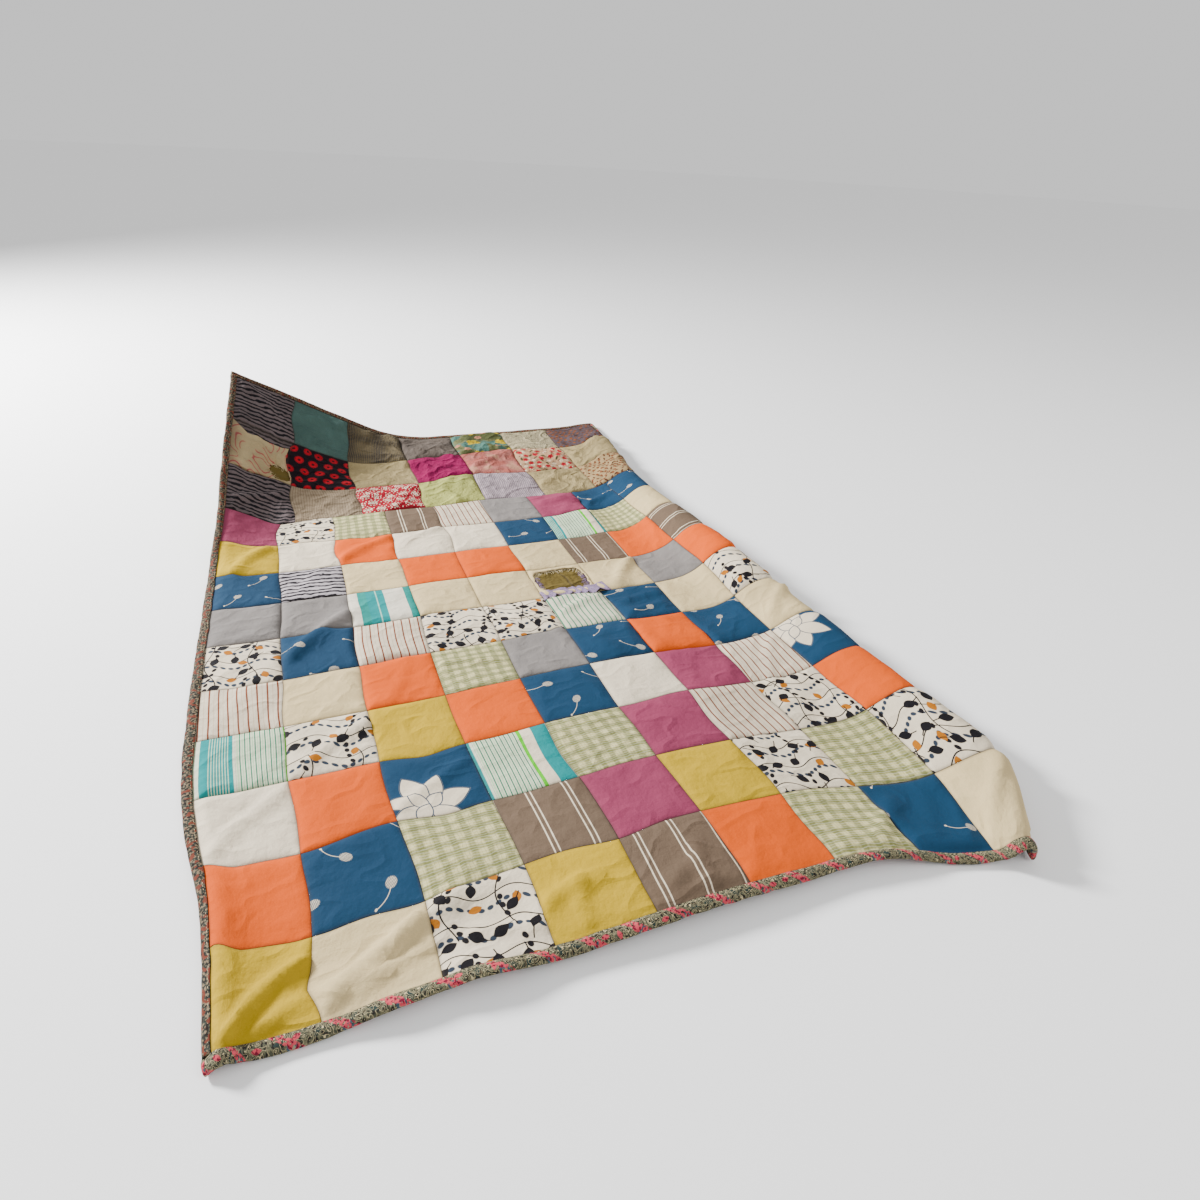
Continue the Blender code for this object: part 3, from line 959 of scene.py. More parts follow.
def meadow(net: Net, x: Term, y: Term) -> Layers:
    """Large faded flowers and leaves on teal."""
    wash = net.noise(x, y, 11.0, 2.0)
    big = net.cells(x + 0.012, y + 0.020, 0.105, 0.100).turned()
    small = net.cells(x - 0.03, y, 0.055, 0.050, 0.5).moved(0.006).turned()
    return [
        (wash.above(0.50, 0.06) * 0.85, as_colour(108, 104, 60)),
        (wash.above(0.58, 0.05) * 0.7, as_colour(62, 70, 34)),
        (small.petals(5, 0.0140, 0.30) * small.chance[0].above(0.4, 0.01), as_colour(186, 126, 96)),
        (big.petals(5, 0.0260, 0.30), as_colour(194, 166, 10)),
        (big.x.reach(big.y).below(0.0050, 0.001), as_colour(150, 120, 40)),
    ]


def posies(net: Net, x: Term, y: Term) -> Layers:
    """Crowded small flowers."""
    first = net.cells(x, y, 0.030, 0.028, 0.5).moved(0.004).turned()
    second = net.cells(x + 0.013, y + 0.017, 0.026, 0.024, 0.5).moved(0.004).turned()
    return [
        (second.leaf(0.0110, 0.0042), as_colour(70, 66, 40)),
        (second.petals(5, 0.0085, 0.35) * second.chance[0].above(0.4, 0.01), as_colour(216, 190, 160)),
        (first.petals(5, 0.0105, 0.35) * first.chance[0].above(0.25, 0.01), as_colour(176, 16, 36)),
        (first.x.reach(first.y).below(0.0026, 0.001), as_colour(80, 30, 30)),
    ]


def autumn(net: Net, x: Term, y: Term) -> Layers:
    """Small brown leaves and flowers on cream."""
    first = net.cells(x, y, 0.022, 0.020, 0.5).moved(0.003).turned()
    second = net.cells(x + 0.011, y + 0.009, 0.020, 0.018, 0.5).moved(0.003).turned()
    return [
        (first.leaf(0.0088, 0.0034), as_colour(88, 50, 30)),
        (second.petals(5, 0.0062, 0.35) * second.chance[0].above(0.4, 0.01), as_colour(122, 70, 40)),
    ]


def faded_rose(net: Net, x: Term, y: Term) -> Layers:
    """Washed-out pink blooms."""
    wash = net.noise(x, y, 15.0, 2.0)
    return [(wash.above(0.52, 0.10) * 0.6, as_colour(160, 78, 66)),
            (wash.below(0.40, 0.08) * 0.5, as_colour(190, 150, 116))]


def garden(net: Net, x: Term, y: Term) -> Layers:
    """Small print of the binding: pink sprays, slate blooms and cream stems on grey green."""
    fleck = net.noise(x, y, 230.0, 2.0)
    stems = ((net.noise(x + 3.0, y, 95.0, 1.0) * 7.0).part() - 0.5).size()
    spray = net.cells(x + y * 1.3, y, 0.065, 0.045)
    petals = net.noise(x, y, 260.0, 0.0).above(0.42, 0.06)
    bloom = net.cells(x + 0.030, y + 0.012, 0.065, 0.060)
    slip = net.cells(x + 0.015, y + 0.004, 0.022, 0.021, 0.5).moved(0.003).turned()
    pink = (spray.x.size().below(0.0075, 0.002) * petals).most(
        slip.leaf(0.0060, 0.0032) * slip.chance[0].above(0.62, 0.01))
    return [
        (fleck.above(0.57, 0.03), as_colour(118, 114, 88)),
        (fleck.below(0.43, 0.03), as_colour(40, 36, 32)),
        (slip.leaf(0.0075, 0.0028) * slip.chance[0].below(0.62, 0.01), as_colour(48, 62, 58)),
        (stems.below(0.06, 0.05), as_colour(214, 196, 150)),
        (bloom.petals(5, 0.0085, 0.3), as_colour(70, 88, 100)),
        (bloom.petals(5, 0.0050, 0.4), as_colour(160, 150, 124)),
        (pink, Dye.PINK),
        (pink * fleck.below(0.44, 0.03), as_colour(120, 24, 50)),
    ]


def bracken(net: Net, x: Term, y: Term) -> Layers:
    """Small print of the far binding: rust and cream on brown."""
    fleck = net.noise(x, y, 240.0, 2.0)
    patchy = net.noise(x + 4.0, y + 1.0, 90.0, 1.0)
    return [
        (fleck.above(0.56, 0.03), as_colour(140, 120, 94)),
        (fleck.below(0.42, 0.03), as_colour(40, 30, 26)),
        (patchy.above(0.60, 0.03), as_colour(118, 60, 44)),
    ]


def specks(net: Net, x: Term, y: Term) -> Layers:
    """Purple specks in loose rows."""
    spot = net.cells(x, y, 0.0075, 0.0068, 0.5).moved(0.0012)
    return [(spot.oval(0.0014, 0.0011) * spot.chance[2].above(0.25, 0.01), as_colour(74, 44, 104))]


def plain(net: Net, x: Term, y: Term) -> Layers:
    """No print."""
    return []


class Wear(Enum):
    """How washed and wrinkled a cloth is."""

    SMOOTH = (0.18, 0.0014)
    SOFT = (0.30, 0.0021)
    CRINKLED = (0.60, 0.0058)


@dataclass(frozen=True)
class Fabric:
    """One cloth: its dye, its print and its surface.

    Attributes:
        name: name of the cloth.
        ground: colour between the prints.
        motif: the print.
        wear: how washed it is.
        thread: size of the weave in metres.
        rough: roughness of the surface.
    """

    name: str
    ground: Colour
    motif: Motif = plain
    wear: Wear = Wear.SOFT
    thread: float = 0.0011
    rough: float = 0.88

    def material(self) -> bpy.types.Material:
        """Build the node material.

        Returns:
            The new material.
        """
        net = Net(f"cloth_{self.name}")
        x, y = net.plane()
        colour: object = self.ground
        for share, dye in self.motif(net, x, y):
            colour = net.mix(share, colour, dye)
        strength, depth = self.wear.value
        mottle = net.noise(x, y, 9.0, 3.0, 0.6)
        warp = (x * (2 * math.pi / self.thread)).sine()
        weft = (y * (2 * math.pi / self.thread)).sine()
        weave = warp * weft
        fuzz = net.noise(x * 1.0, y * 1.4, 420.0, 2.0, 0.6)
        shade = (mottle - 0.5) * (0.9 * strength) + weave * 0.035 + (fuzz - 0.5) * 0.16 + BASE_SHADE
        colour = net.mix(1.0, colour, net.grey(shade), "MULTIPLY")
        # painted shade, with some grime: the colour darkens towards brown grey along each seam, in the dip
        # between the puffed patches
        seam = net.attribute(SEAM_SHADE)
        colour = net.mix(seam * 0.55, colour, as_colour(58, 50, 44))
        net.feed(net.shader.inputs["Base Color"], colour)
        net.feed(net.shader.inputs["Roughness"], (fuzz - 0.5) * 0.12 + self.rough)
        net.shader.inputs["Specular IOR Level"].default_value = 0.12
        creased = net.noise(x, y, 38.0, 4.0, 0.62)
        pucker = net.noise(x, y, 130.0, 2.0, 0.5)
        slant = net.noise(x + y * 0.5, y * 1.5 - x * 0.4, 10.0, 1.0, 0.5)
        fold = (slant - 0.5).size().below(0.05, 0.12)
        height = (creased * depth + pucker * (depth * 0.30) + fold * (depth * 0.80) + weave * 0.00006
                  + fuzz * 0.00010)
        bump = net.node("ShaderNodeBump")
        bump.inputs["Strength"].default_value = 0.9
        bump.inputs["Distance"].default_value = 1.0
        net.feed(bump.inputs["Height"], height)
        net.tree.links.new(bump.outputs[0], net.shader.inputs["Normal"])
        net.material.diffuse_color = (*self.ground, 1.0)
        return net.material


class Stock(Enum):
    """Every cloth of the quilt, under the word used in the layouts."""

    MUSTARD = Fabric("mustard", Dye.MUSTARD, thread=0.0016)
    CREAM = Fabric("cream", Dye.CREAM)
    WHITE = Fabric("white", Dye.WHITE)
    SPRIG = Fabric("sprig", Dye.WHITE, sprigs)
    TAUPE = Fabric("taupe_pins", Dye.TAUPE, twin_stripes)
    ORANGE = Fabric("orange", Dye.ORANGE, wear=Wear.SMOOTH)
    PLAID = Fabric("green_plaid", as_colour(222, 212, 150), plaid)
    SEEDS = Fabric("blue_seed_heads", Dye.BLUE, seed_heads, Wear.SMOOTH)
    FLOWER = Fabric("blue_flower", Dye.BLUE, big_flower, Wear.SMOOTH)
    MAUVE = Fabric("mauve", Dye.MAUVE, thread=0.0014)
    RUST = Fabric("rust_stripes", as_colour(232, 216, 190), rust_stripes)
    GREY = Fabric("grey", Dye.GREY)
    DECK = Fabric("teal_bands", as_colour(228, 232, 204), deckchair)
    BANDS = Fabric("wide_bands", as_colour(236, 228, 208), wide_bands)
    PINS = Fabric("green_pins", as_colour(226, 224, 196),
                  striped(0.0125, 0.115, 0.05, as_colour(60, 140, 104)))
    TIGER = Fabric("wavy_lilac", as_colour(196, 186, 190), tiger)
    WAVES = Fabric("wavy_grey", as_colour(118, 104, 104), tiger, Wear.CRINKLED)
    CHECK = Fabric("beige_check", as_colour(148, 130, 106),
                   checked(0.0072, 0.09, 0.06, 0.7, as_colour(92, 76, 60)), Wear.CRINKLED)
    KERCHIEF = Fabric("red_kerchief", as_colour(160, 14, 38), kerchief, Wear.CRINKLED)
    PALE_GREEN = Fabric("pale_green", as_colour(166, 168, 92), plain, Wear.CRINKLED)
    LILAC = Fabric("lilac_stripe", as_colour(176, 162, 162),
                   striped(0.0062, 0.22, 0.1, as_colour(134, 114, 130)), Wear.CRINKLED)
    TAN = Fabric("tan", as_colour(160, 142, 100), plain, Wear.CRINKLED)
    AUTUMN = Fabric("brown_floral", as_colour(164, 138, 98), autumn, Wear.CRINKLED)
    LINES = Fabric("pink_lines", as_colour(192, 172, 130), pink_lines, Wear.CRINKLED)
    DAISIES = Fabric("red_daisies", as_colour(26, 14, 22), daisies, Wear.CRINKLED)
    MAGENTA = Fabric("magenta", as_colour(138, 10, 74), plain, Wear.CRINKLED)
    ROSE = Fabric("faded_rose", as_colour(172, 104, 94), faded_rose, Wear.CRINKLED)
    POSIES = Fabric("red_floral", as_colour(176, 140, 106), posies, Wear.CRINKLED)
    SEA = Fabric("sea_blue", as_colour(76, 104, 98), plain, Wear.CRINKLED)
    SHADOW = Fabric("dark_plaid", as_colour(92, 84, 68), blurred_plaid, Wear.CRINKLED)
    ASH = Fabric("ash", as_colour(92, 82, 74), plain, Wear.CRINKLED)
    MEADOW = Fabric("meadow", as_colour(76, 116, 104), meadow, Wear.CRINKLED)
    SCRIBBLE = Fabric("scribbles", as_colour(176, 164, 130), scribbles, Wear.CRINKLED)
    DUSK = Fabric("dusk", as_colour(80, 66, 70), autumn, Wear.CRINKLED)
    GINGHAM = Fabric("black_gingham", as_colour(26, 26, 30),
                     checked(0.0088, 0.07, 0.05, 0.8, as_colour(150, 148, 150)))
    SAND = Fabric("sand", as_colour(146, 134, 116))
    CORAL = Fabric("coral", as_colour(196, 74, 48))
    LIME = Fabric("lime", as_colour(146, 180, 30))
    SKY = Fabric("pale_sky", as_colour(140, 166, 158))
    OLIVE = Fabric("olive_lining", Dye.OLIVE, plain, Wear.CRINKLED)
    RUFFLE = Fabric("lavender", as_colour(150, 130, 160), specks)
    BINDING = Fabric("binding_garden", as_colour(82, 84, 68), garden)
    SIDE_BINDING = Fabric("binding_heath", as_colour(58, 64, 56), bracken)
    FAR_BINDING = Fabric("binding_bracken", as_colour(84, 62, 48), bracken)


class Wardrobe:
    """Makes each cloth's material once."""

    def __init__(self) -> None:
        """Start with nothing dyed."""
        self.made: dict[Stock, bpy.types.Material] = {}

    def __call__(self, stock: Stock) -> bpy.types.Material:
        """Give the material of a cloth, made the first time it is asked for."""
        if stock not in self.made:
            self.made[stock] = stock.value.material()
        return self.made[stock]


WARDROBE = Wardrobe()


@dataclass(frozen=True)
class Pull:
    """A place where the sewing has drawn the patches aside.

    Attributes:
        u, v: where it is strongest.
        du, dv: how far it draws the seams.
        reach: how far round it is felt.
    """

    u: float
    v: float
    du: float
    dv: float
    reach: float = 0.06


@dataclass(frozen=True)
class Piecing:
    """How far the sewn seams wander from the ruled plan.

    Attributes:
        pulls: listed pulls.
        waves: small wander across and along.
        amount: size of the wander in the main section.
        head_amount: size of the wander in the head section.
    """

    pulls: tuple[Pull, ...] = (
        Pull(0.00, 0.150, 0.000, -0.020, 0.09),
        Pull(0.15, 0.150, -0.004, -0.018, 0.07),
        Pull(0.30, 0.155, 0.000, -0.015, 0.07),
        Pull(0.00, 0.300, 0.000, -0.013, 0.08),
        Pull(0.15, 0.300, 0.000, -0.015, 0.08),
        Pull(0.15, 0.045, -0.012, 0.000, 0.04),
        Pull(0.60, 0.150, 0.000, -0.007, 0.06),
        Pull(1.16, 0.300, 0.010, 0.000, 0.08),
        Pull(0.12, 1.560, 0.000, -0.016, 0.10),
        Pull(0.22, 1.740, -0.010, -0.018, 0.12),
        Pull(0.40, 1.900, 0.000, -0.020, 0.12),
        Pull(0.78, 1.740, 0.000, 0.022, 0.12),
        Pull(0.98, 1.900, 0.000, 0.022, 0.13),
        Pull(0.75, 1.500, 0.000, 0.012, 0.10),
        Pull(0.15, 1.500, 0.006, -0.010, 0.05),
        Pull(0.08, 1.500, 0.000, 0.006, 0.05),
        Pull(0.15, 1.420, -0.006, 0.000, 0.05),
        Pull(0.08, 1.350, 0.000, -0.010, 0.05),
        Pull(0.07, 1.200, 0.000, -0.009, 0.05),
        Pull(0.22, 1.350, 0.000, 0.008, 0.05),
        Pull(0.30, 1.280, -0.008, 0.000, 0.05),
        Pull(0.45, 1.240, -0.008, 0.000, 0.06),
        Pull(0.33, 1.200, 0.000, 0.006, 0.05),
        Pull(0.60, 1.280, 0.010, 0.006, 0.06),
        Pull(0.39, 1.350, 0.000, -0.008, 0.05),
        Pull(0.30, 0.300, 0.000, 0.006, 0.05),
        Pull(0.38, 0.300, 0.000, -0.006, 0.04),
        Pull(0.30, 0.440, -0.004, 0.003, 0.05),
        Pull(0.38, 0.450, 0.000, -0.009, 0.04),
    )
    waves: tuple[Ripple, Ripple] = (Ripple((0.105, 0.090), 31), Ripple((0.090, 0.105), 47))
    amount: float = 0.0038
    head_amount: float = 0.0095

    def __call__(self, u: Array, v: Array) -> tuple[Array, Array]:
        """Move points of the ruled plan to where they are sewn.

        Args:
            u: places across.
            v: places along.

        Returns:
            The moved places across and along.
        """
        inner = np.minimum(np.minimum(u, PLAN.width - u), np.minimum(v, PLAN.length - v))
        room = soft_step(inner / 0.06)
        grown = soft_step((v - PLAN.join + 0.03) / 0.12)
        amount = self.amount + (self.head_amount - self.amount) * grown
        du, dv = amount * self.waves[0](u, v), amount * self.waves[1](u, v)
        for pull in self.pulls:
            share = np.exp(-((u - pull.u) ** 2 + (v - pull.v) ** 2) / pull.reach**2)
            du, dv = du + pull.du * share, dv + pull.dv * share
        return u + du * room, v + dv * room


GROUND = Ground(Lie())
SEWN = Piecing()


@dataclass
class Weave:
    """A woven grid of points before it becomes an object.

    Attributes:
        points: place of each point, rows by columns.
        plan: flat place of each point, rows by columns.
        cloths: the cloths that it is made of.
        face_cloth: which cloth each face has, rows by columns.
        keep: which faces stay, rows by columns.
        seam: how near a seam each point is, 0 to 1; the colour darkens there as painted shade.
        face_map: place on its own cloth of each corner of each face.
    """

    points: Array
    plan: Array
    cloths: list[Stock]
    face_cloth: Array | None = None
    keep: Array | None = None
    seam: Array | None = None
    face_map: Array | None = None

    def build(self, name: str, thickness: float) -> bpy.types.Object:
        """Make the cloth, with its thickness on the outer side.

        Args:
            name: name of the piece.
            thickness: thickness in metres.

        Returns:
            The new object.
        """
        rows, columns = self.points.shape[:2]
        index = np.arange(rows * columns).reshape(rows, columns)
        corners = np.stack([index[:-1, :-1], index[:-1, 1:], index[1:, 1:], index[1:, :-1]], -1)
        keep = np.ones(corners.shape[:2], bool) if self.keep is None else self.keep
        faces = corners[keep]
        if self.face_map is None:
            maps = self.plan.reshape(-1, 2)[faces]
        else:
            maps = self.face_map[keep]
        mesh = bpy.data.meshes.new(name)
        mesh.from_pydata(self.points.reshape(-1, 3).tolist(), [], faces.tolist())
        for stock in self.cloths:
            mesh.materials.append(WARDROBE(stock))
        if self.face_cloth is not None:
            mesh.polygons.foreach_set("material_index", self.face_cloth[keep].astype(np.int32))
        layer = mesh.uv_layers.new(name=MAP)
        layer.data.foreach_set("uv", maps.reshape(-1).astype(np.float32))
        # nearness to a seam, stored for the painted shade along the seams
        near = np.zeros(rows * columns) if self.seam is None else self.seam.reshape(-1)
        mark = mesh.attributes.new(SEAM_SHADE, "FLOAT", "POINT")
        mark.data.foreach_set("value", near.astype(np.float32))
        drop_loose(mesh)
        mesh.shade_smooth()
        piece = bpy.data.objects.new(name, mesh)
        bpy.context.scene.collection.objects.link(piece)
        solid = piece.modifiers.new("thickness", "SOLIDIFY")
        solid.thickness = thickness
        solid.offset = 1.0
        return piece


def drop_loose(mesh: bpy.types.Mesh) -> None:
    """Remove points that no face uses."""
    bm = bmesh.new()
    bm.from_mesh(mesh)
    bmesh.ops.delete(bm, geom=[v for v in bm.verts if not v.link_faces], context="VERTS")
    bm.to_mesh(mesh)
    bm.free()


def ready(piece: bpy.types.Object, node: str | None) -> bpy.types.Object:
    """Hand a finished piece to the frame and report it.

    Args:
        piece: the finished piece.
        node: the plain solid that it stands for, if any.

    Returns:
        The same piece.
    """
    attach(piece, BODY)
    if node:
        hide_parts(node)
    LOG.info("%s: %d faces", piece.name, len(piece.data.polygons))
    return piece


def lines(seams: Sequence[float], inner: Sequence[float], low: float, high: float) -> Array:
    """Grid lines between seams, closer together beside each seam.

    Args:
        seams: places of the seams, in order.
        inner: distances from a seam up to the middle of a patch, as shares of its side.
        low: places before the first seam.
        high: places after the last seam.

    Returns:
        All places in order.
    """
    found = []
    for start, stop in zip(seams[:-1], seams[1:]):
        shares = [*inner, *[1.0 - s for s in reversed(inner) if s < 0.4999]]
        found += [start + (stop - start) * s for s in shares]
    return np.array([*low, *found, seams[-1], *high])


@dataclass(frozen=True)
class Tear:
    """A worn-through place, as a ragged opening in one patch.

    Attributes:
        centre: its middle on the plan.
        half: half its width and half its length.
        square: how square its outline is; 2 is an oval.
        ragged: how far its edge wanders.
        seed: seed of the ragged edge.
        ring: which ring of the patch's grid becomes its edge.
        lip: how far its edge stands up.
    """

    centre: tuple[float, float]
    half: tuple[float, float]
    square: float
    ragged: float
    seed: int
    ring: int = 3
    lip: float = 0.0030

    def edge(self, angle: Array) -> tuple[Array, Array]:
        """Outline at an angle seen from the centre.

        Args:
            angle: angles in radians.

        Returns:
            Places across and along.
        """
        c, s = np.cos(angle), np.sin(angle)
        reach = (np.abs(c) ** self.square + np.abs(s) ** self.square) ** (-1.0 / self.square)
        rough = Ripple((0.22, 0.22), self.seed)(angle, angle * 0.0) + 0.5 * Ripple(
            (0.09, 0.09), self.seed + 1)(angle, angle * 0.0)
        return (self.centre[0] + c * (reach * self.half[0] + self.ragged * rough),
                self.centre[1] + s * (reach * self.half[1] + self.ragged * rough))


MAIN_TEAR = Tear((0.825, 0.973), (0.067, 0.055), 5.0, 0.0036, 5, lip=0.0050)
HEAD_TEAR = Tear((0.157, 1.731), (0.031, 0.033), 2.6, 0.0030, 9)


@dataclass(frozen=True)
class Front:
    """One pieced section of the front.

    Attributes:
        name: name of the piece.
        layout: the cloth of each patch, a row of words for each row from the near edge.
        start: where its first seam is.
        side: width and length of a patch.
        inner: shares of a patch at which grid lines run, up to its middle.
        tear: the worn-through place in it.
        creases: listed creases.
        folds: size, share, turn and seed of each set of wrinkles.
        puff: rise of the middle of a patch over its seams.
        wrinkle: height of the small wrinkles.
        tear_cell: column and row of the torn patch.
        seed: seed of its wrinkles and cuts.
        low: height of its lowest face over the shared shape.
        thickness: thickness of the cloth.
        seam_gap: room left on each side of the seam between the sections.
        crease: how strongly the listed creases stand.
    """

    name: str
    layout: tuple[str, ...]
    start: float
    side: tuple[float, float]
    inner: tuple[float, ...]
    tear: Tear
    tear_cell: tuple[int, int]
    creases: tuple[Crease, ...]
    puff: float
    wrinkle: float
    seed: int
    low: float = 0.0025
    thickness: float = 0.0015
    seam_gap: float = 0.0005
    crease: float = 1.75
    folds: tuple[tuple[float, float, float, int], ...] = (
        (0.160, 1.4, 52.0, 6), (0.100, 1.1, 35.0, 2), (0.072, 0.8, -28.0, 3), (0.040, 0.3, 10.0, 4),
    )

    def spacing(self) -> tuple[Array, Array]:
        """Grid lines across and along, with the rim inside the binding.

        Returns:
            Both sets of lines.
        """
        rim = (-PLAN.rim, -0.5 * PLAN.rim)
        u_seams = [i * self.side[0] for i in range(len(self.layout[0].split()) + 1)]
        v_seams = [self.start + i * self.side[1] for i in range(len(self.layout) + 1)]
        far_rim = [PLAN.width - r for r in reversed(rim)]
        u = lines(u_seams, self.inner, rim, far_rim)
        first = self.start == 0.0
        v = lines(v_seams, self.inner, rim if first else (),
                  () if first else [PLAN.length - r for r in reversed(rim)])
        v[-1 if first else 0] += -self.seam_gap if first else self.seam_gap
        return u, v

    def near_seam(self, u: Array, v: Array) -> Array:
        """Distance of each ruled point to its nearest seam."""
        columns, rows = len(self.layout[0].split()), len(self.layout)
        du = np.abs(u / self.side[0] - np.clip(np.round(u / self.side[0]), 0, columns)) * self.side[0]
        t = (v - self.start) / self.side[1]
        dv = np.abs(t - np.clip(np.round(t), 0, rows)) * self.side[1]
        return np.minimum(du, dv)

    def rise(self, u: Array, v: Array, d: Array) -> Array:
        """Height of puffs, puckers, wrinkles and creases over the shared shape.

        Args:
            u: ruled places across.
            v: ruled places along.
            d: distance of each point to its nearest seam.

        Returns:
            Heights, none below the shape.
        """
        loose = 0.5 + 0.5 * Ripple((0.19, 0.16), self.seed)(u, v)
        height = self.puff * (1.0 - np.exp(-d / 0.011)) * (0.45 + 0.9 * loose)
        tuck = Ripple((0.017, 0.017), self.seed + 1)(u, v) * np.exp(-d / 0.016)
        height = height + 0.0009 * np.abs(tuck) * (1.0 - np.exp(-d / 0.003))
        for scale, share, turn, seed in self.folds:
            wave = Ripple((scale, scale * 2.1), self.seed + seed, turn)(u, v)
            ridge = np.clip(1.0 - np.abs(wave) * 2.2, 0.0, 1.0) ** 1.5
            height = height + self.wrinkle * share * ridge * (0.15 + loose) * (1.0 - np.exp(-d / 0.006))
        height = height + self.crease * sum(c.height(u, v) for c in self.creases)
        margin = np.minimum(np.minimum(u, PLAN.width - u), np.minimum(v, PLAN.length - v))
        return np.maximum(height, 0.0) * soft_step((margin + 0.001) / 0.022)

    def torn(self, u: Array, v: Array) -> tuple[Array, Array, Array]:
        """Open the tear by drawing the patch's inner grid on to its edge.

        Args:
            u: ruled places across, rows by columns.
            v: ruled places along, rows by columns.

        Returns:
            The new places across and along, and which faces stay.
        """
        count = 2 * len(self.inner) - 1
        i0 = count * self.tear_cell[0] + 2
        j0 = count * self.tear_cell[1] + (2 if self.start == 0.0 else 0)
        u, v = u.copy(), v.copy()
        keep = np.ones((u.shape[0] - 1, u.shape[1] - 1), bool)
        ring = self.tear.ring
        keep[j0 + ring:j0 + count - ring, i0 + ring:i0 + count - ring] = False
        for j in range(count + 1):
            for i in range(count + 1):
                depth = min(i, count - i, j, count - j)
                if not 0 < depth <= ring:
                    continue
                scale = (count / 2) / (count / 2 - depth)
                a = (i - count / 2) * scale + count / 2
                b = (j - count / 2) * scale + count / 2
                u1 = np.interp(a, range(count + 1), self._even(u[j0, i0:i0 + count + 1]))
                v1 = np.interp(b, range(count + 1), self._even(v[j0:j0 + count + 1, i0]))
                angle = math.atan2((v1 - self.tear.centre[1]) / self.tear.half[1],
                                   (u1 - self.tear.centre[0]) / self.tear.half[0])
                u2, v2 = self.tear.edge(np.array(angle))
                share = depth / ring
                u[j0 + j, i0 + i] = u1 + (u2 - u1) * share
                v[j0 + j, i0 + i] = v1 + (v2 - v1) * share
        return u, v, keep

    @staticmethod
    def _even(places: Array) -> Array:
        """Same number of places, evenly spread over the same stretch."""
        return np.linspace(places[0], places[-1], len(places))

    def build(self) -> bpy.types.Object:
        """Make the section.

        Returns:
            The new object.
        """
        us, vs = self.spacing()
        u, v = np.meshgrid(us, vs)
        words = [row.split() for row in self.layout]
        cloths = sorted({word for row in words for word in row})
        column = np.clip(((us[:-1] + us[1:]) / 2 / self.side[0]).astype(int), 0, len(words[0]) - 1)
        row = np.clip((((vs[:-1] + vs[1:]) / 2 - self.start) / self.side[1]).astype(int), 0, len(words) - 1)
        index = np.array([[cloths.index(word) for word in line] for line in words])
        face_cloth = index[row[:, None], column[None, :]]
        u, v, keep = self.torn(u, v)
        d = self.near_seam(u, v)
        lip = self._lip(u, v)
        height = self.rise(u, v, d) * (1.0 - lip) + self.tear.lip * lip
        su, sv = SEWN(u, v)
        points = GROUND.at(su, sv, self.low + height)
        maps = self._maps(u, v, row, column, words)
        # painted shade: how strongly each point darkens beside its seam, where the cloth dips
        seam = np.exp(-((d / 0.0022) ** 2))
        weave = Weave(points, np.stack([u, v], -1), [Stock[c] for c in cloths], face_cloth, keep,
                      seam, maps)
        return weave.build(self.name, self.thickness)

    def _lip(self, u: Array, v: Array) -> Array:
        """How near each point is to the edge of the tear, 0 to 1."""
        angle = np.arctan2((v - self.tear.centre[1]) / self.tear.half[1],
                           (u - self.tear.centre[0]) / self.tear.half[0])
        edge_u, edge_v = self.tear.edge(angle)
        reach = np.hypot(u - edge_u, v - edge_v)
        return np.exp(-((reach / 0.008) ** 2))

    def _maps(self, u: Array, v: Array, row: Array, column: Array, words: list[list[str]]) -> Array:
        """Each face's place on its own cloth, as cut for its patch.

        Args:
            u: ruled places across.
            v: ruled places along.
            row: row of patches of each row of faces.
            column: column of patches of each column of faces.
            words: the layout.

        Returns:
            Places on the cloth for the four corners of each face.
        """
        chance = np.random.RandomState(self.seed)
        shape = (len(words), len(words[0]))
        slide = chance.uniform(-2.0, 2.0, (*shape, 2))
        tilt = np.radians(chance.uniform(-3.0, 3.0, shape))
        for j, line in enumerate(words):
            for i, word in enumerate(line):
                place, turn = CUTS.get((word, i, j + (0 if self.start == 0.0 else PLAN.rows)), (None, None))
                if place is not None:
                    slide[j, i] = place
                if turn is not None:
                    tilt[j, i] = math.radians(turn)
        middle_u = (column + 0.5) * self.side[0]
        middle_v = self.start + (row + 0.5) * self.side[1]
        corners = []
        for dj, di in ((0, 0), (0, 1), (1, 1), (1, 0)):
            rows, columns = slice(dj, u.shape[0] - 1 + dj), slice(di, u.shape[1] - 1 + di)
            a = u[rows, columns] - middle_u[None, :]
            b = v[rows, columns] - middle_v[:, None]
            c, s = np.cos(tilt[row[:, None], column]), np.sin(tilt[row[:, None], column])
            move = slide[row[:, None], column]
            corners.append(np.stack([a * c + b * s + move[..., 0], b * c - a * s + move[..., 1]], -1))
        return np.stack(corners, -2)


# how particular patches are cut: place of their middle on the cloth, and turn of the cloth in degrees
CUTS: dict[tuple[str, int, int], tuple[tuple[float, float] | None, float | None]] = {
    ("FLOWER", 2, 2): ((0.022, 0.052), 0.0),
    ("FLOWER", 8, 3): ((0.034, -0.038), 0.0),
    ("DECK", 3, 2): ((0.122, 0.0), 0.0),
    ("DECK", 0, 3): ((0.065, 0.0), 0.0),
    ("DECK", 6, 8): ((0.100, 0.0), 0.0),
    ("BANDS", 2, 6): ((0.052, 0.0), 0.0),
    ("TAUPE", 8, 7): (None, 90.0),
    ("WAVES", 0, 10): (None, 0.0),
    ("WAVES", 0, 12): (None, 0.0),
}


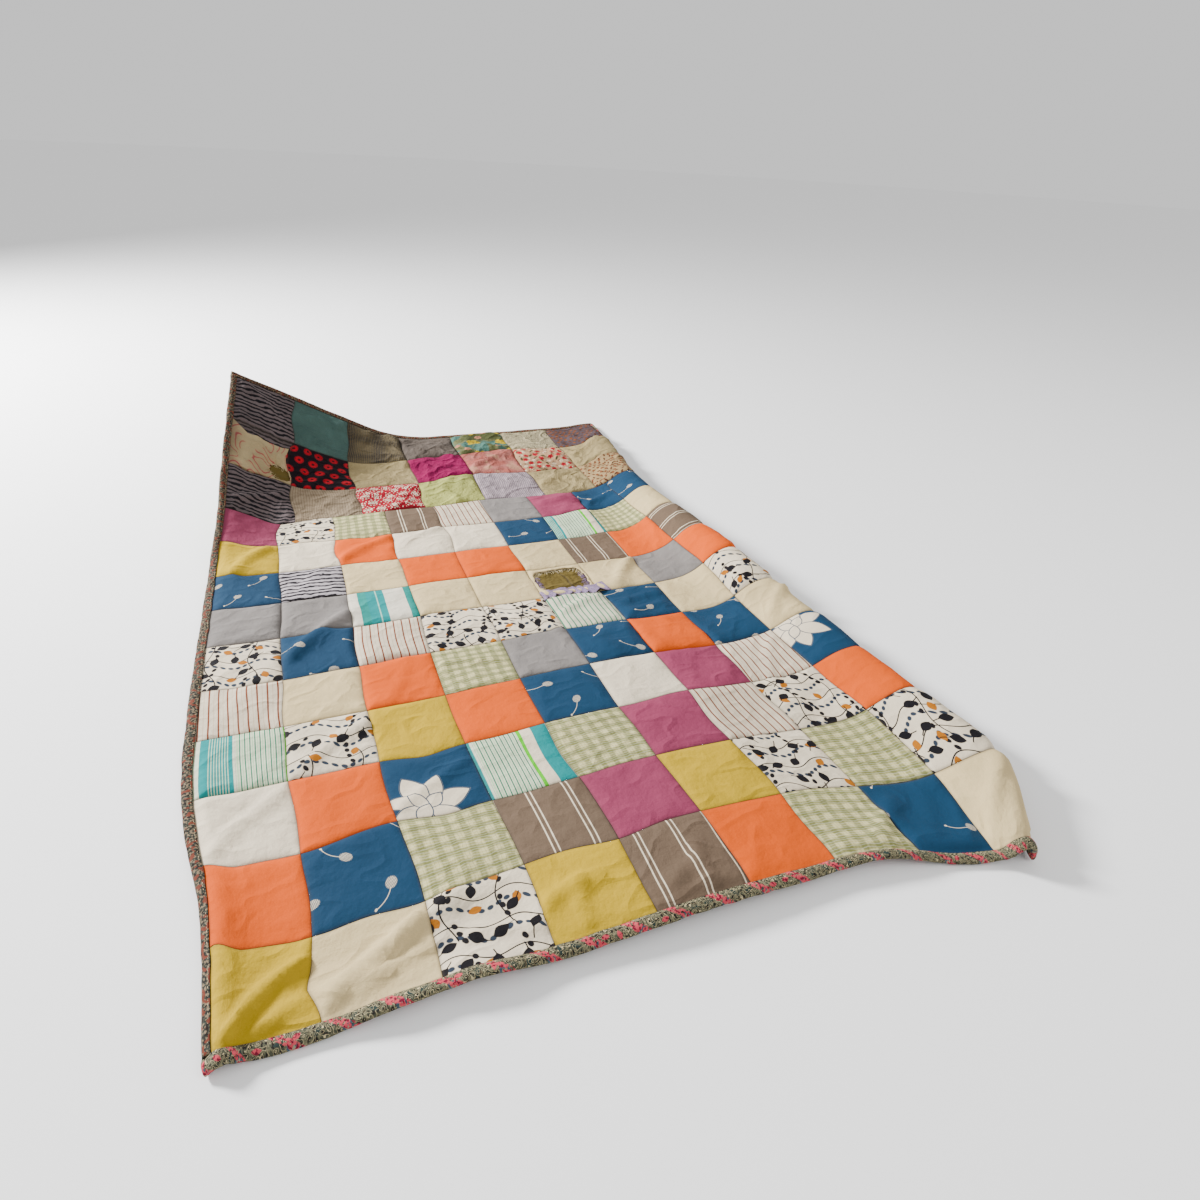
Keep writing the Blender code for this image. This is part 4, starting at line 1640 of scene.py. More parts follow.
def main_front() -> Front:
    """The newer section with its nine by ten patches.

    Returns:
        The section, with its cloths and its creases.
    """
    side = PLAN.patch
    return Front(
        name="front_main",
        layout=(
            "MUSTARD CREAM SPRIG MUSTARD TAUPE ORANGE PLAID SEEDS CREAM",
            "ORANGE SEEDS PLAID TAUPE MAUVE MUSTARD SPRIG PLAID SPRIG",
            "WHITE ORANGE FLOWER DECK PLAID MAUVE RUST SPRIG ORANGE",
            "DECK SPRIG MUSTARD ORANGE SEEDS WHITE MAUVE RUST FLOWER",
            "RUST CREAM ORANGE PLAID GREY SEEDS ORANGE SEEDS CREAM",
            "SPRIG SEEDS RUST SPRIG SPRIG PINS SEEDS CREAM SPRIG",
            "GREY GREY BANDS CREAM CREAM CREAM CREAM GREY ORANGE",
            "SEEDS TIGER CREAM ORANGE ORANGE CREAM TAUPE ORANGE TAUPE",
            "MUSTARD WHITE ORANGE WHITE WHITE SEEDS DECK PLAID CREAM",
            "MAUVE SPRIG PLAID TAUPE RUST GREY MAUVE SEEDS SEEDS",
        ),
        start=0.0, side=(side, side),
        inner=(0.0, 0.011, 0.030, 0.060, 0.100, 0.153, 0.213, 0.280, 0.353, 0.427, 0.5),
        tear=MAIN_TEAR, tear_cell=(5, 6),
        creases=(
            Crease(0.025, 0.012, 0.138, 0.112, 0.0060, 0.0060, 0.006, 2.2),
            Crease(0.070, 0.010, 0.142, 0.040, 0.0060, 0.0035, 0.004, 1.6),
            Crease(0.168, 0.040, 0.285, 0.120, 0.0065, 0.0065, -0.004, 2.0),
            Crease(0.160, 0.020, 0.235, 0.050, 0.0055, 0.0045, 0.004, 1.8),
            Crease(0.205, 0.028, 0.300, 0.070, 0.0060, 0.0040, 0.004, 1.8),
            Crease(0.350, 0.060, 0.440, 0.040, 0.0080, 0.0050, 0.004, 1.5),
            Crease(0.460, 0.070, 0.545, 0.085, 0.0080, 0.0055, 0.006, 1.6),
            Crease(0.500, 0.020, 0.512, 0.085, 0.0070, 0.0035, 0.003, 1.6),
            Crease(0.640, 0.040, 0.690, 0.062, 0.0070, 0.0035, 0.003, 1.8),
            Crease(0.690, 0.020, 0.700, 0.085, 0.0070, 0.0030, 0.003, 1.8),
            Crease(1.000, 0.030, 1.080, 0.110, 0.0100, 0.0040, 0.004, 1.6),
            Crease(1.230, 0.020, 1.310, 0.130, 0.0100, 0.0045, 0.006, 1.6),
            Crease(0.020, 0.330, 0.130, 0.420, 0.0080, 0.0035, 0.004, 1.6),
            Crease(0.310, 0.330, 0.430, 0.400, 0.0070, 0.0035, 0.004, 1.6),
            Crease(0.180, 0.480, 0.290, 0.560, 0.0080, 0.0040, 0.004, 1.6),
            Crease(0.170, 0.820, 0.290, 0.950, 0.0090, 0.0050, 0.006, 1.6),
            Crease(0.470, 0.700, 0.570, 0.680, 0.0080, 0.0035, 0.004, 1.6),
            Crease(0.650, 0.830, 0.735, 0.750, 0.0070, 0.0040, 0.004, 1.6),
            Crease(0.770, 0.820, 0.885, 0.870, 0.0070, 0.0040, 0.004, 1.6),
            Crease(0.930, 0.780, 1.020, 0.800, 0.0060, 0.0035, 0.004, 1.6),
            Crease(0.920, 0.830, 1.030, 0.850, 0.0060, 0.0030, 0.004, 1.6),
            Crease(0.960, 0.930, 1.040, 1.030, 0.0120, 0.0060, 0.006, 1.4),
            Crease(1.080, 1.000, 1.180, 0.930, 0.0090, 0.0045, 0.004, 1.4),
            Crease(0.480, 1.290, 0.580, 1.340, 0.0080, 0.0040, 0.004, 1.4),
            Crease(0.310, 1.230, 0.430, 1.320, 0.0100, 0.0050, 0.006, 1.5),
            Crease(0.040, 1.210, 0.120, 1.330, 0.0110, 0.0050, 0.006, 1.5),
            Crease(1.090, 0.440, 1.170, 0.560, 0.0100, 0.0040, 0.004, 1.5),
            Crease(1.230, 0.640, 1.330, 0.720, 0.0090, 0.0050, 0.005, 1.5),
            Crease(0.930, 1.440, 1.040, 1.430, 0.0080, 0.0040, 0.004, 1.5),
            Crease(1.070, 1.390, 1.180, 1.430, 0.0080, 0.0040, 0.004, 1.5),
        ),
        puff=0.0019, wrinkle=0.0036, seed=101,
    )


def head_front() -> Front:
    """The older section at the far end, with its seven by three larger patches.

    Returns:
        The section, with its cloths and its creases.
    """
    side = PLAN.head_patch
    return Front(
        name="front_head",
        layout=(
            "WAVES CHECK KERCHIEF PALE_GREEN LILAC TAN AUTUMN",
            "LINES DAISIES TAN MAGENTA ROSE POSIES TAN",
            "WAVES SEA SHADOW ASH MEADOW SCRIBBLE DUSK",
        ),
        start=PLAN.join, side=(side, side),
        inner=(0.0, 0.008, 0.023, 0.050, 0.085, 0.127, 0.175, 0.225, 0.278, 0.333, 0.389, 0.445, 0.5),
        tear=HEAD_TEAR, tear_cell=(0, 1),
        creases=(
            Crease(0.020, 1.560, 0.170, 1.640, 0.0080, 0.0050, 0.006, 1.5),
            Crease(0.215, 1.960, 0.330, 1.900, 0.0060, 0.0050, 0.004, 1.6),
            Crease(0.240, 2.020, 0.360, 2.040, 0.0060, 0.0045, 0.004, 1.6),
            Crease(0.420, 1.790, 0.500, 1.730, 0.0060, 0.0060, 0.004, 1.6),
            Crease(0.540, 1.850, 0.640, 1.800, 0.0070, 0.0060, 0.004, 1.6),
            Crease(0.620, 1.940, 0.740, 1.860, 0.0070, 0.0055, 0.005, 1.6),
            Crease(0.400, 1.590, 0.560, 1.640, 0.0080, 0.0050, 0.005, 1.6),
            Crease(0.610, 1.730, 0.720, 1.790, 0.0070, 0.0050, 0.005, 1.6),
            Crease(0.790, 1.760, 0.930, 1.830, 0.0070, 0.0055, 0.005, 1.6),
            Crease(0.980, 1.590, 1.130, 1.660, 0.0080, 0.0055, 0.005, 1.6),
            Crease(1.000, 1.640, 1.120, 1.580, 0.0070, 0.0050, 0.005, 1.6),
            Crease(0.800, 1.950, 0.930, 1.900, 0.0070, 0.0050, 0.005, 1.6),
            Crease(1.180, 1.780, 1.300, 1.850, 0.0080, 0.0050, 0.005, 1.6),
        ),
        puff=0.0017, wrinkle=0.0066, seed=211,
    )


class Fronts:
    """Both sections of the front."""

    def build(self) -> None:
        """Make both sections."""
        rim = 2 * PLAN.rim
        for front, node, slot, length in (
            (main_front(), "patchwork_main", "front_cotton", PLAN.join + PLAN.rim),
            (head_front(), "patchwork_head", "old_cotton", PLAN.length - PLAN.join + PLAN.rim),
        ):
            piece = ready(front.build(), node)
            PLAN.width + rim


@dataclass(frozen=True)
class Backing:
    """Pieced reverse cloth with its thin filling.

    Attributes:
        columns: where its pieces meet across.
        rows: where its pieces meet along.
        layout: the cloth of each piece, from the near edge.
        step: size of its grid.
        thickness: thickness with the filling.
    """

    columns: tuple[float, ...] = (0.20, 0.43, 0.88, 1.10)
    rows: tuple[float, ...] = (0.42, 0.86, 1.22, 1.66)
    layout: tuple[str, ...] = (
        "SAND GINGHAM SAND MAUVE GREY",
        "SKY MUSTARD GREY SKY CREAM",
        "CORAL CREAM LILAC GINGHAM SAND",
        "LIME GREY SKY SAND MAUVE",
        "SKY SAND CREAM GREY GINGHAM",
    )
    step: float = 0.0155
    thickness: float = 0.0022

    def build(self) -> bpy.types.Object:
        """Make the reverse cloth."""
        us = self._lines(-PLAN.rim, PLAN.width + PLAN.rim, self.columns)
        vs = self._lines(-PLAN.rim, PLAN.length + PLAN.rim, self.rows)
        u, v = np.meshgrid(us, vs)
        column = np.searchsorted(self.columns, (us[:-1] + us[1:]) / 2)
        row = np.searchsorted(self.rows, (vs[:-1] + vs[1:]) / 2)
        words = [line.split() for line in self.layout]
        cloths = sorted({word for line in words for word in line})
        index = np.array([[cloths.index(word) for word in line] for line in words])
        weave = Weave(GROUND.at(u, v, 0.0), np.stack([u, v], -1), [Stock[c] for c in cloths],
                      index[row[:, None], column[None, :]])
        return weave.build("backing_cloth", self.thickness)

    def _lines(self, start: float, stop: float, seams: Sequence[float]) -> Array:
        """Even grid lines that also run along each seam."""
        stops = [start, *seams, stop]
        found = [start]
        for a, b in zip(stops[:-1], stops[1:]):
            found += list(np.linspace(a, b, max(2, round((b - a) / self.step)) + 1)[1:])
        return np.array(found)


@dataclass(frozen=True)
class Yarn:
    """A twisted thread.

    Attributes:
        name: name of the thread.
        colour: its dye.
    """

    name: str
    colour: Colour

    def material(self) -> bpy.types.Material:
        """Build the thread's material, with its twist and its fluff.

        Returns:
            The new material.
        """
        net = Net(f"yarn_{self.name}")
        place = net.node("ShaderNodeTexCoord").outputs["Object"]
        twist = net.node("ShaderNodeTexWave", wave_type="BANDS", bands_direction="DIAGONAL")
        twist.inputs["Scale"].default_value = 900.0
        fluff = net.node("ShaderNodeTexNoise")
        fluff.inputs["Scale"].default_value = 600.0
        for made in (twist, fluff):
            net.tree.links.new(place, made.inputs["Vector"])
        shade = Term(net, twist.outputs["Fac"]) * 0.25 + Term(net, fluff.outputs["Fac"]) * 0.35 + 0.65
        colour = net.mix(1.0, self.colour, net.grey(shade), "MULTIPLY")
        net.feed(net.shader.inputs["Base Color"], colour)
        net.shader.inputs["Roughness"].default_value = 0.85
        net.shader.inputs["Specular IOR Level"].default_value = 0.15
        net.material.diffuse_color = (*self.colour, 1.0)
        return net.material


class Mark(Enum):
    """What is laid along a path."""

    STITCH = "stitch"
    FRAY = "fray"


@dataclass(frozen=True)
class Trail:
    """Small thread shapes laid along a path by Geometry Nodes.

    Attributes:
        name: name of the piece.
        mark: what is laid.
        yarn: the thread.
        pitch: distance between two of them.
        length: length of each.
        width: thickness of each.
        sway: most turn about the way up, in radians.
        seed: seed of the sway.
    """

    name: str
    mark: Mark
    yarn: Yarn
    pitch: float
    length: float
    width: float
    sway: float
    seed: int

    def build(self, paths: Sequence[tuple[Array, Array, Array]]) -> bpy.types.Object:
        """Lay the threads and turn the result into a plain mesh.

        Args:
            paths: points, way up and aim of each path.

        Returns:
            The new object.
        """
        mesh = bpy.data.meshes.new(self.name)
        points, edges, start = [], [], 0
        for place, _, _ in paths:
            points += place.tolist()
            edges += [(start + i, start + i + 1) for i in range(len(place) - 1)]
            start += len(place)
        mesh.from_pydata(points, edges, [])
        for name, part in ((UP, 1), (AIM, 2)):
            mark = mesh.attributes.new(name, "FLOAT_VECTOR", "POINT")
            values = np.concatenate([path[part] for path in paths])
            mark.data.foreach_set("vector", values.ravel().astype(np.float32))
        guide = bpy.data.objects.new(self.name, mesh)
        bpy.context.scene.collection.objects.link(guide)
        modifier = guide.modifiers.new("trail", "NODES")
        modifier.node_group = tree = self._tree()
        values = {"Pitch": self.pitch, "Length": self.length, "Width": self.width, "Sway": self.sway,
                  "Seed": self.seed}
        for item in tree.interface.items_tree:
            if item.name in values:
                modifier[item.identifier] = values[item.name]
        solid = bpy.data.meshes.new_from_object(guide.evaluated_get(bpy.context.evaluated_depsgraph_get()))
        guide.modifiers.remove(modifier)
        guide.data = solid
        bpy.data.meshes.remove(mesh)
        solid.name = self.name
        return guide

    def _tree(self) -> bpy.types.NodeTree:
        """Build the node tree, with named inputs.

        Returns:
            The new tree.
        """
        tree = bpy.data.node_groups.new(self.name, "GeometryNodeTree")
        face = tree.interface
        face.new_socket("Geometry", in_out="INPUT", socket_type="NodeSocketGeometry")
        for name in ("Pitch", "Length", "Width", "Sway"):
            face.new_socket(name, in_out="INPUT", socket_type="NodeSocketFloat")
        face.new_socket("Seed", in_out="INPUT", socket_type="NodeSocketInt")
        face.new_socket("Geometry", in_out="OUTPUT", socket_type="NodeSocketGeometry")

        def add(kind: str, feeds: dict[str | int, object], **settings: object) -> bpy.types.Node:
            """Add a node, set its properties and fill its inputs."""
            made = tree.nodes.new(kind)
            for key, value in settings.items():
                setattr(made, key, value)
            for key, value in feeds.items():
                if isinstance(value, bpy.types.NodeSocket):
                    tree.links.new(value, made.inputs[key])
                else:
                    made.inputs[key].default_value = value
            return made

        given = add("NodeGroupInput", {}).outputs
        curve = add("GeometryNodeMeshToCurve", {0: given["Geometry"]})
        spaced = add("GeometryNodeResampleCurve", {"Curve": curve.outputs[0], "Length": given["Pitch"]},
                     mode="LENGTH")
        up, aim = (add("GeometryNodeInputNamedAttribute", {"Name": name}, data_type="FLOAT_VECTOR").outputs[0]
                   for name in (UP, AIM))
        raised = add("FunctionNodeAlignRotationToVector", {"Vector": up}, axis="Z")
        aimed = add("FunctionNodeAlignRotationToVector", {"Rotation": raised.outputs[0], "Vector": aim},
                    axis="X", pivot_axis="Z")
        least = add("ShaderNodeMath", {0: given["Sway"], 1: -1.0}, operation="MULTIPLY")
        swing = add("FunctionNodeRandomValue", {"Min": least.outputs[0], "Max": given["Sway"],
                                                "Seed": given["Seed"]}, data_type="FLOAT")
        swings = [out for out in swing.outputs if out.enabled][0]
        about = add("FunctionNodeAxisAngleToRotation", {"Axis": (0.0, 0.0, 1.0), "Angle": swings})
        turned = add("FunctionNodeRotateRotation", {
            "Rotation": aimed.outputs[0], "Rotate By": about.outputs[0]}, rotation_space="LOCAL")
        scale = add("FunctionNodeRandomValue", {"Min": 0.6, "Max": 1.25, "Seed": given["Seed"]},
                    data_type="FLOAT")
        scales = [out for out in scale.outputs if out.enabled][0]
        shape = self._stitch(add, given) if self.mark is Mark.STITCH else self._fray(add, given)
        laid = add("GeometryNodeInstanceOnPoints", {"Points": spaced.outputs[0], "Instance": shape,
                                                    "Rotation": turned.outputs[0], "Scale": scales})
        real = add("GeometryNodeRealizeInstances", {0: laid.outputs[0]})
        dressed = add("GeometryNodeSetMaterial", {"Geometry": real.outputs[0],
                                                  "Material": self.yarn.material()})
        add("NodeGroupOutput", {0: dressed.outputs[0]})
        return tree

    @staticmethod
    def _stitch(add: Callable[..., bpy.types.Node], given: Sequence[bpy.types.NodeSocket]
                ) -> bpy.types.NodeSocket:
        """One stitch: a slim rounded grain."""
        grain = add("GeometryNodeMeshIcoSphere", {"Radius": 0.5, "Subdivisions": 1})
        size = add("ShaderNodeCombineXYZ", {0: given["Length"], 1: given["Width"], 2: given["Width"]})
        sized = add("GeometryNodeTransform", {"Geometry": grain.outputs[0], "Scale": size.outputs[0]})
        return sized.outputs[0]

    @staticmethod
    def _fray(add: Callable[..., bpy.types.Node], given: Sequence[bpy.types.NodeSocket]
              ) -> bpy.types.NodeSocket:
        """One frayed thread: a bent tube."""
        bend = add("GeometryNodeCurveQuadraticBezier", {
            "Resolution": 4, "Start": (0.0, 0.0, 0.0), "Middle": (0.5, 0.22, 0.18),
            "End": (1.0, -0.15, -0.12)})
        size = add("ShaderNodeCombineXYZ", {0: given["Length"], 1: given["Length"], 2: given["Length"]})
        sized = add("GeometryNodeTransform", {"Geometry": bend.outputs[0], "Scale": size.outputs[0]})
        radius = add("ShaderNodeMath", {0: given["Width"], 1: 0.5}, operation="MULTIPLY")
        round_ = add("GeometryNodeCurvePrimitiveCircle", {"Resolution": 4, "Radius": radius.outputs[0]})
        return add("GeometryNodeCurveToMesh", {"Curve": sized.outputs[0], "Profile Curve": round_.outputs[0],
                                               "Fill Caps": True}).outputs[0]


class Side(Enum):
    """The four sides of the quilt."""

    NEAR = "near"
    FAR = "far"
    LEFT = "left"
    RIGHT = "right"


def trail_of(u: Array, v: Array, height: float, inward: tuple[float, float] | None = None
             ) -> tuple[Array, Array, Array]:
    """Points of a path on the quilt, with the way up and the aim at each.

    Args:
        u: plan places across.
        v: plan places along.
        height: height over the shared shape.
        inward: plan point to aim at; without it the aim is along the path.

    Returns:
        Points, ways up and aims.
    """
    place = GROUND.at(u, v, height)
    up = GROUND.at(u, v, height + 0.01) - place
    if inward is None:
        aim = np.gradient(place, axis=0)
    else:
        aim = GROUND.at(u + 0.1 * (inward[0] - u), v + 0.1 * (inward[1] - v), height) - place
    return place, up, aim


@dataclass(frozen=True)
class Binding:
    """Printed strip folded round one side of the quilt.

    Attributes:
        side: which side it binds.
        stock: its cloth.
        wander: how far its inner edge wanders.
        flute: how far its outer edge ripples in and out.
        step: distance between its stations.
        thickness: thickness of the strip.
        room: room between the strip and what it wraps.
        top: height of what it wraps.
        seam_share: where its stitches run, as a share of its width; they start at the same
            share of its length.
        seed: seed of its ripples.
    """

    side: Side
    stock: Stock = Stock.BINDING
    wander: float = 0.0010
    flute: float = 0.0012
    step: float = 0.0042
    thickness: float = 0.0010
    room: float = 0.0009
    top: float = 0.0040
    seam_share: float = 0.14
    seed: int = 7

    @property
    def length(self) -> float:
        """Length of the strip from end to end."""
        if self.side in (Side.NEAR, Side.FAR):
            return PLAN.width + 2 * PLAN.binding - 0.002
        return PLAN.length - 0.0006

    def place(self, s: Array, out: Array) -> tuple[Array, Array]:
        """Plan place of a point of the strip.

        Args:
            s: distance along the strip.
            out: distance out from the patches.

        Returns:
            Places across and along.
        """
        end = PLAN.binding - 0.001
        if self.side is Side.NEAR:
            return s - end, -out
        if self.side is Side.FAR:
            return PLAN.width + end - s, PLAN.length + out
        if self.side is Side.LEFT:
            return -out, PLAN.length - 0.0003 - s
        return PLAN.width + out, s + 0.0003

    def profile(self) -> tuple[Array, Array]:
        """Section of the fold: share of the way out, and share of the height."""
        under = [(0.0, 0.0), (0.35, 0.0), (0.7, 0.0), (0.92, 0.02)]
        turn = [(0.97, 0.10), (1.0, 0.30), (1.012, 0.5), (1.0, 0.72), (0.965, 0.92)]
        over = [(0.90, 1.02), (0.80, 1.08), (0.68, 1.13), (0.55, 1.16), (0.42, 1.16), (0.30, 1.14),
                (0.20, 1.10), (0.12, 1.06), (0.06, 1.03), (0.02, 1.005), (-0.02, 1.0)]
        out, up = zip(*(under + turn + over))
        return np.array(out), np.array(up)

    def edge(self) -> tuple[Array, Array, Array]:
        """Stitch line just inside the strip's inner edge: points, way up and aim."""
        s = np.arange(self.seam_share * self.length, self.length, 0.004)
        inner = Ripple((0.030, 0.030), self.seed + 2)(s, s * 0.0) * self.wander
        u, v = self.place(s, self.seam_share * (PLAN.rim + self.room) + inner)
        return trail_of(u, v, self.top + self.thickness + 0.0017)

    def build(self) -> bpy.types.Object:
        """Make the strip.

        Returns:
            The new object.
        """
        out, up = self.profile()
        stations = np.linspace(0.0, self.length, round(self.length / self.step) + 1)
        s, _ = np.meshgrid(stations, out)
        low, high = -self.room, self.top + self.room
        reach = PLAN.rim + self.room
        ripple = Ripple((0.045, 0.045), self.seed)(s, s * 0.0) + 0.6 * Ripple(
            (0.016, 0.016), self.seed + 1)(s, s * 0.0)
        inner = Ripple((0.030, 0.030), self.seed + 2)(s, s * 0.0) * self.wander
        o = out[:, None] * (reach + self.flute * np.clip(ripple, -1.0, 0.6)) + (1.0 - out[:, None]) * inner
        puff = 1.0 + 0.25 * Ripple((0.022, 0.012), self.seed + 3)(s, o)
        lift = np.where(up[:, None] > 1.0, 1.0 + (up[:, None] - 1.0) * 2.2 * puff, up[:, None])
        u, v = self.place(s, o)
        points = GROUND.at(u, v, low + (high - low) * lift)
        fold = np.cumsum(np.hypot(np.diff(out, prepend=out[0]) * reach, np.diff(up, prepend=up[0]) * high))
        plan = np.stack([s, np.broadcast_to(fold[:, None], s.shape)], -1)
        weave = Weave(points, plan, [self.stock])
        return weave.build(f"binding_strip_{self.side.value}", self.thickness)


class Bindings:
    """All four strips."""

    def build(self) -> None:
        for binding, node, slot in (
            (Binding(Side.NEAR, seed=17, flute=0.0016), "binding_near", "binding_print"),
            (Binding(Side.FAR, Stock.FAR_BINDING, seed=27), "binding_far", "far_binding_print"),
            (Binding(Side.LEFT, Stock.SIDE_BINDING, seed=37), "binding_left", "binding_print"),
            (Binding(Side.RIGHT, seed=47), "binding_right", "binding_print"),
        ):
            piece = ready(binding.build(), node)
            binding.length


@dataclass(frozen=True)
class Lining:
    """Olive cloth that shows through a tear.

    Attributes:
        name: name of the piece.
        tear: the tear that it shows through.
        spread: how far it runs under the edge of the tear.
        offset: height over the shared shape.
        wrinkle: height of its wrinkles.
        seed: seed of its wrinkles.
        seam_at: where its own seam runs, if it has one.
        thickness: thickness of the cloth.
        step: size of its grid.
        folds: size, share, turn and seed of each set of wrinkles.
    """

    name: str
    tear: Tear
    spread: float
    wrinkle: float
    seed: int
    seam_at: float | None = None
    offset: float = 0.00255
    thickness: float = 0.0007
    step: float = 0.0025
    folds: tuple[tuple[float, float, float, int], ...] = (
        (0.040, 1.0, 70.0, 0), (0.022, 0.8, 25.0, 1), (0.012, 0.35, -40.0, 2),
    )

    def build(self) -> bpy.types.Object:
        """Make the cloth.

        Returns:
            The new object.
        """
        half_u, half_v = (h + self.spread for h in self.tear.half)
        us = np.linspace(-half_u, half_u, round(2 * half_u / self.step) + 1)
        vs = np.linspace(-half_v, half_v, round(2 * half_v / self.step) + 1)
        a, b = np.meshgrid(us, vs)
        u, v = a + self.tear.centre[0], b + self.tear.centre[1]
        inside = np.clip(1.25 - np.maximum(np.abs(a) / half_u, np.abs(b) / half_v) * 1.25, 0.0, 1.0)
        room = soft_step(inside / 0.35)
        height = 0.0
        for scale, share, turn, seed in self.folds:
            wave = Ripple((scale, scale * 2.4), self.seed + seed, turn)(u, v)
            height = height + self.wrinkle * share * np.clip(1.0 - np.abs(wave) * 2.4, 0.0, 1.0) ** 1.4
        seam = np.zeros(u.shape)
        if self.seam_at is not None:
            line = a - self.seam_at + 0.20 * b - 0.003 * np.sin(b * 90.0)
            height = height * (1.0 - np.exp(-((line / 0.003) ** 2))) + 0.0016 * np.exp(
                -(((np.abs(line) - 0.006) / 0.004) ** 2))
            # painted shade along the lining's own seam, in the dip between its two ridges
            seam = 1.4 * np.exp(-((line / 0.0018) ** 2))
        points = GROUND.at(u, v, self.offset + height * room)
        weave = Weave(points, np.stack([u, v], -1), [Stock.OLIVE], seam=seam)
        return weave.build(self.name, self.thickness)


@dataclass(frozen=True)
class Ruffle:
    """Loose lavender strip along the near edge of the tear.

    Attributes:
        start: its left end on the plan.
        span: how far it runs across.
        width: its width.
        rise: height of its waves.
        waves: number of its waves.
        base: height of its foot over the shared shape.
        thickness: thickness of the cloth.
    """

    start: tuple[float, float] = (0.748, 0.884)
    span: float = 0.176
    width: float = 0.040
    rise: float = 0.0085
    waves: float = 6.5
    base: float = 0.0058
    thickness: float = 0.0010

    def build(self) -> bpy.types.Object:
        """Make the strip.

        Returns:
            The new object.
        """
        s, t = np.meshgrid(np.linspace(0.0, 1.0, 181), np.linspace(0.0, 1.0, 25))
        bend = self.waves * (s + 0.045 * np.sin(11.0 * s) + 0.07 * t)
        wave = 0.5 - 0.5 * np.cos(2.0 * math.pi * bend)
        wave = wave**0.8
        climb = soft_step((s - 0.70) / 0.30)
        u = self.start[0] + self.span * s + 0.004 * np.sin(2.0 * math.pi * bend) * (1.0 - t)
        v = self.start[1] + self.width * t + 0.010 * np.sin(3.0 * s + 0.4) + 0.016 * climb
        edge = 0.0015 * Ripple((0.02, 0.5), 71)(s, t * 0.0)
        v = v + edge * (2.0 * t - 1.0) + 0.003 * (wave - 0.5) * (1.0 - t)
        small = 0.0008 * Ripple((0.012, 0.020), 72)(u, v)
        tail = soft_step(s / 0.05) * soft_step((1.0 - s) / 0.04)
        height = self.base + (self.rise * (1.0 - 0.65 * t) * wave + 0.002 * (1.0 - t) + small) * tail
        weave = Weave(GROUND.at(u, v, height), np.stack([s * 0.30, t * 0.05], -1), [Stock.RUFFLE])
        return weave.build("ruffle", self.thickness)


class Repairs:
    """What shows where the front is worn through."""

    def build(self) -> None:
        """Make both linings and the ruffle."""
        for lining, node, flat in (
            (Lining("olive_main", MAIN_TEAR, 0.010, 0.0012, 83, 0.016), "olive_lining_main", None),
            (Lining("olive_head", HEAD_TEAR, 0.008, 0.0004, 93), "olive_lining_head", None),
        ):
            piece = ready(lining.build(), node)
        ruffle = Ruffle()
        piece = ready(ruffle.build(), "torn_flap")


class Threads:
    """Stitches of the binding and frayed threads of the tears."""

    def build(self) -> None:
        cream = Yarn("cream", as_colour(214, 196, 156))
        lilac = Yarn("lilac", Dye.LILAC)
        strips = [Binding(Side.NEAR, seed=17), Binding(Side.FAR, seed=27), Binding(Side.LEFT, seed=37),
                  Binding(Side.RIGHT, seed=47)]
        hem = Trail("binding_stitches", Mark.STITCH, cream, 0.0062, 0.0036, 0.0007, 0.10, 5)
        ready(hem.build([strip.edge() for strip in strips]), None)
        for name, yarn, tear, stretches, pitch, seed in (
            ("fray_main", cream, MAIN_TEAR, ((0.3, 2.9), (3.6, 4.3)), 0.0024, 11),
            ("fray_side", lilac, MAIN_TEAR, ((-0.7, 0.5), (2.7, 3.7)), 0.0018, 12),
            ("fray_head", cream, HEAD_TEAR, ((1.2, 2.4), (3.4, 4.4)), 0.0032, 13),
        ):
            fray = Trail(name, Mark.FRAY, yarn, pitch, 0.0135, 0.0006, 0.9, seed)
            paths = []
            for start, stop in stretches:
                u, v = SEWN(*tear.edge(np.linspace(start, stop, 60)))
                paths.append(trail_of(u, v, 0.0062, tear.centre))
            ready(fray.build(paths), None)


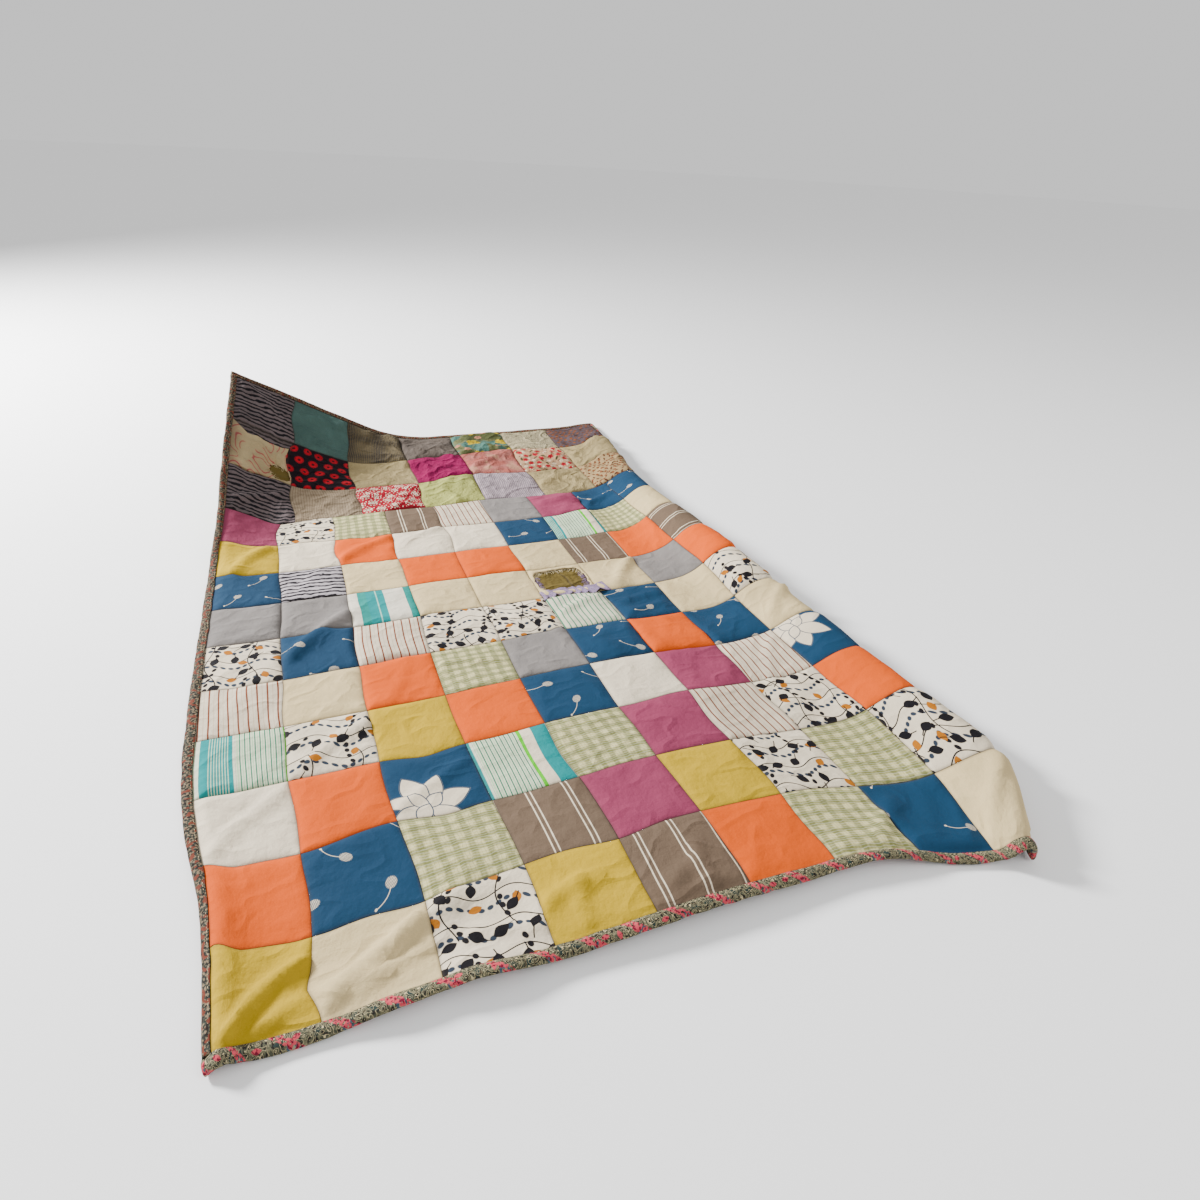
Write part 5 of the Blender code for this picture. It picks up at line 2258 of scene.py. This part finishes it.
class Studio:
    """Floor, lights, world and camera."""

    eye = Vector((-0.4330, -1.6347, 0.9606))
    yaw = 0.4006
    pitch = 0.5325
    roll = 0.0595
    lens = 23.56
    floor_radius = 30.0

    def build(self) -> None:
        """Set up the room."""
        self.floor()
        self.lights()
        self.camera()

    def floor(self) -> None:
        """Plain pale floor."""
        bm = bmesh.new()
        bmesh.ops.create_circle(bm, cap_ends=True, segments=96, radius=self.floor_radius)
        mesh = bpy.data.meshes.new("floor")
        bm.to_mesh(mesh)
        bm.free()
        floor = bpy.data.objects.new("floor", mesh)
        bpy.context.scene.collection.objects.link(floor)
        floor.location.z = -0.0006
        material = bpy.data.materials.new("pale_floor")
        material.use_nodes = True
        shader = material.node_tree.nodes["Principled BSDF"]
        shader.inputs["Base Color"].default_value = (0.95, 0.95, 0.95, 1.0)
        shader.inputs["Roughness"].default_value = 0.9
        mesh.materials.append(material)

    def lights(self) -> None:
        """Soft key from the far left, and a pale world for the rest."""
        world = bpy.data.worlds.new("studio")
        bpy.context.scene.world = world
        world.use_nodes = True
        back = world.node_tree.nodes["Background"]
        back.inputs["Color"].default_value = (1.0, 1.0, 1.0, 1.0)
        back.inputs["Strength"].default_value = 0.85
        for name, place, size, power in (
            ("key", (-3.5, 2.8, 2.3), 1.2, 940.0),
            ("fill", (2.5, -3.0, 3.0), 3.0, 60.0),
        ):
            data = bpy.data.lights.new(name, "AREA")
            data.shape = "DISK"
            data.size = size
            data.energy = power
            light = bpy.data.objects.new(name, data)
            bpy.context.scene.collection.objects.link(light)
            light.location = place
            light.rotation_euler = (-Vector(place)).to_track_quat("-Z", "Y").to_euler()

    def camera(self) -> None:
        """Camera where a person standing by the near left corner looks down."""
        forward = Vector((math.sin(self.yaw) * math.cos(self.pitch),
                          math.cos(self.yaw) * math.cos(self.pitch), -math.sin(self.pitch)))
        right = Vector((math.cos(self.yaw), -math.sin(self.yaw), 0.0))
        above = right.cross(forward)
        across = right * math.cos(self.roll) + above * math.sin(self.roll)
        up = above * math.cos(self.roll) - right * math.sin(self.roll)
        data = bpy.data.cameras.new("camera")
        data.lens = self.lens
        data.sensor_width = 36.0
        data.clip_start = 0.05
        camera = bpy.data.objects.new("camera", data)
        bpy.context.scene.collection.objects.link(camera)
        turn = Matrix((across, up, -forward)).transposed().to_4x4()
        camera.matrix_world = Matrix.Translation(self.eye) @ turn
        bpy.context.scene.camera = camera


def main() -> None:
    """Build the quilt and the room round it."""
    logging.basicConfig(level=logging.INFO)
    Studio().build()
    Fronts().build()
    piece = ready(Backing().build(), "backing")
    PLAN.width + 2 * PLAN.rim
    PLAN.length + 2 * PLAN.rim
    Bindings().build()
    Repairs().build()
    Threads().build()


if __name__ == "__main__":
    main()
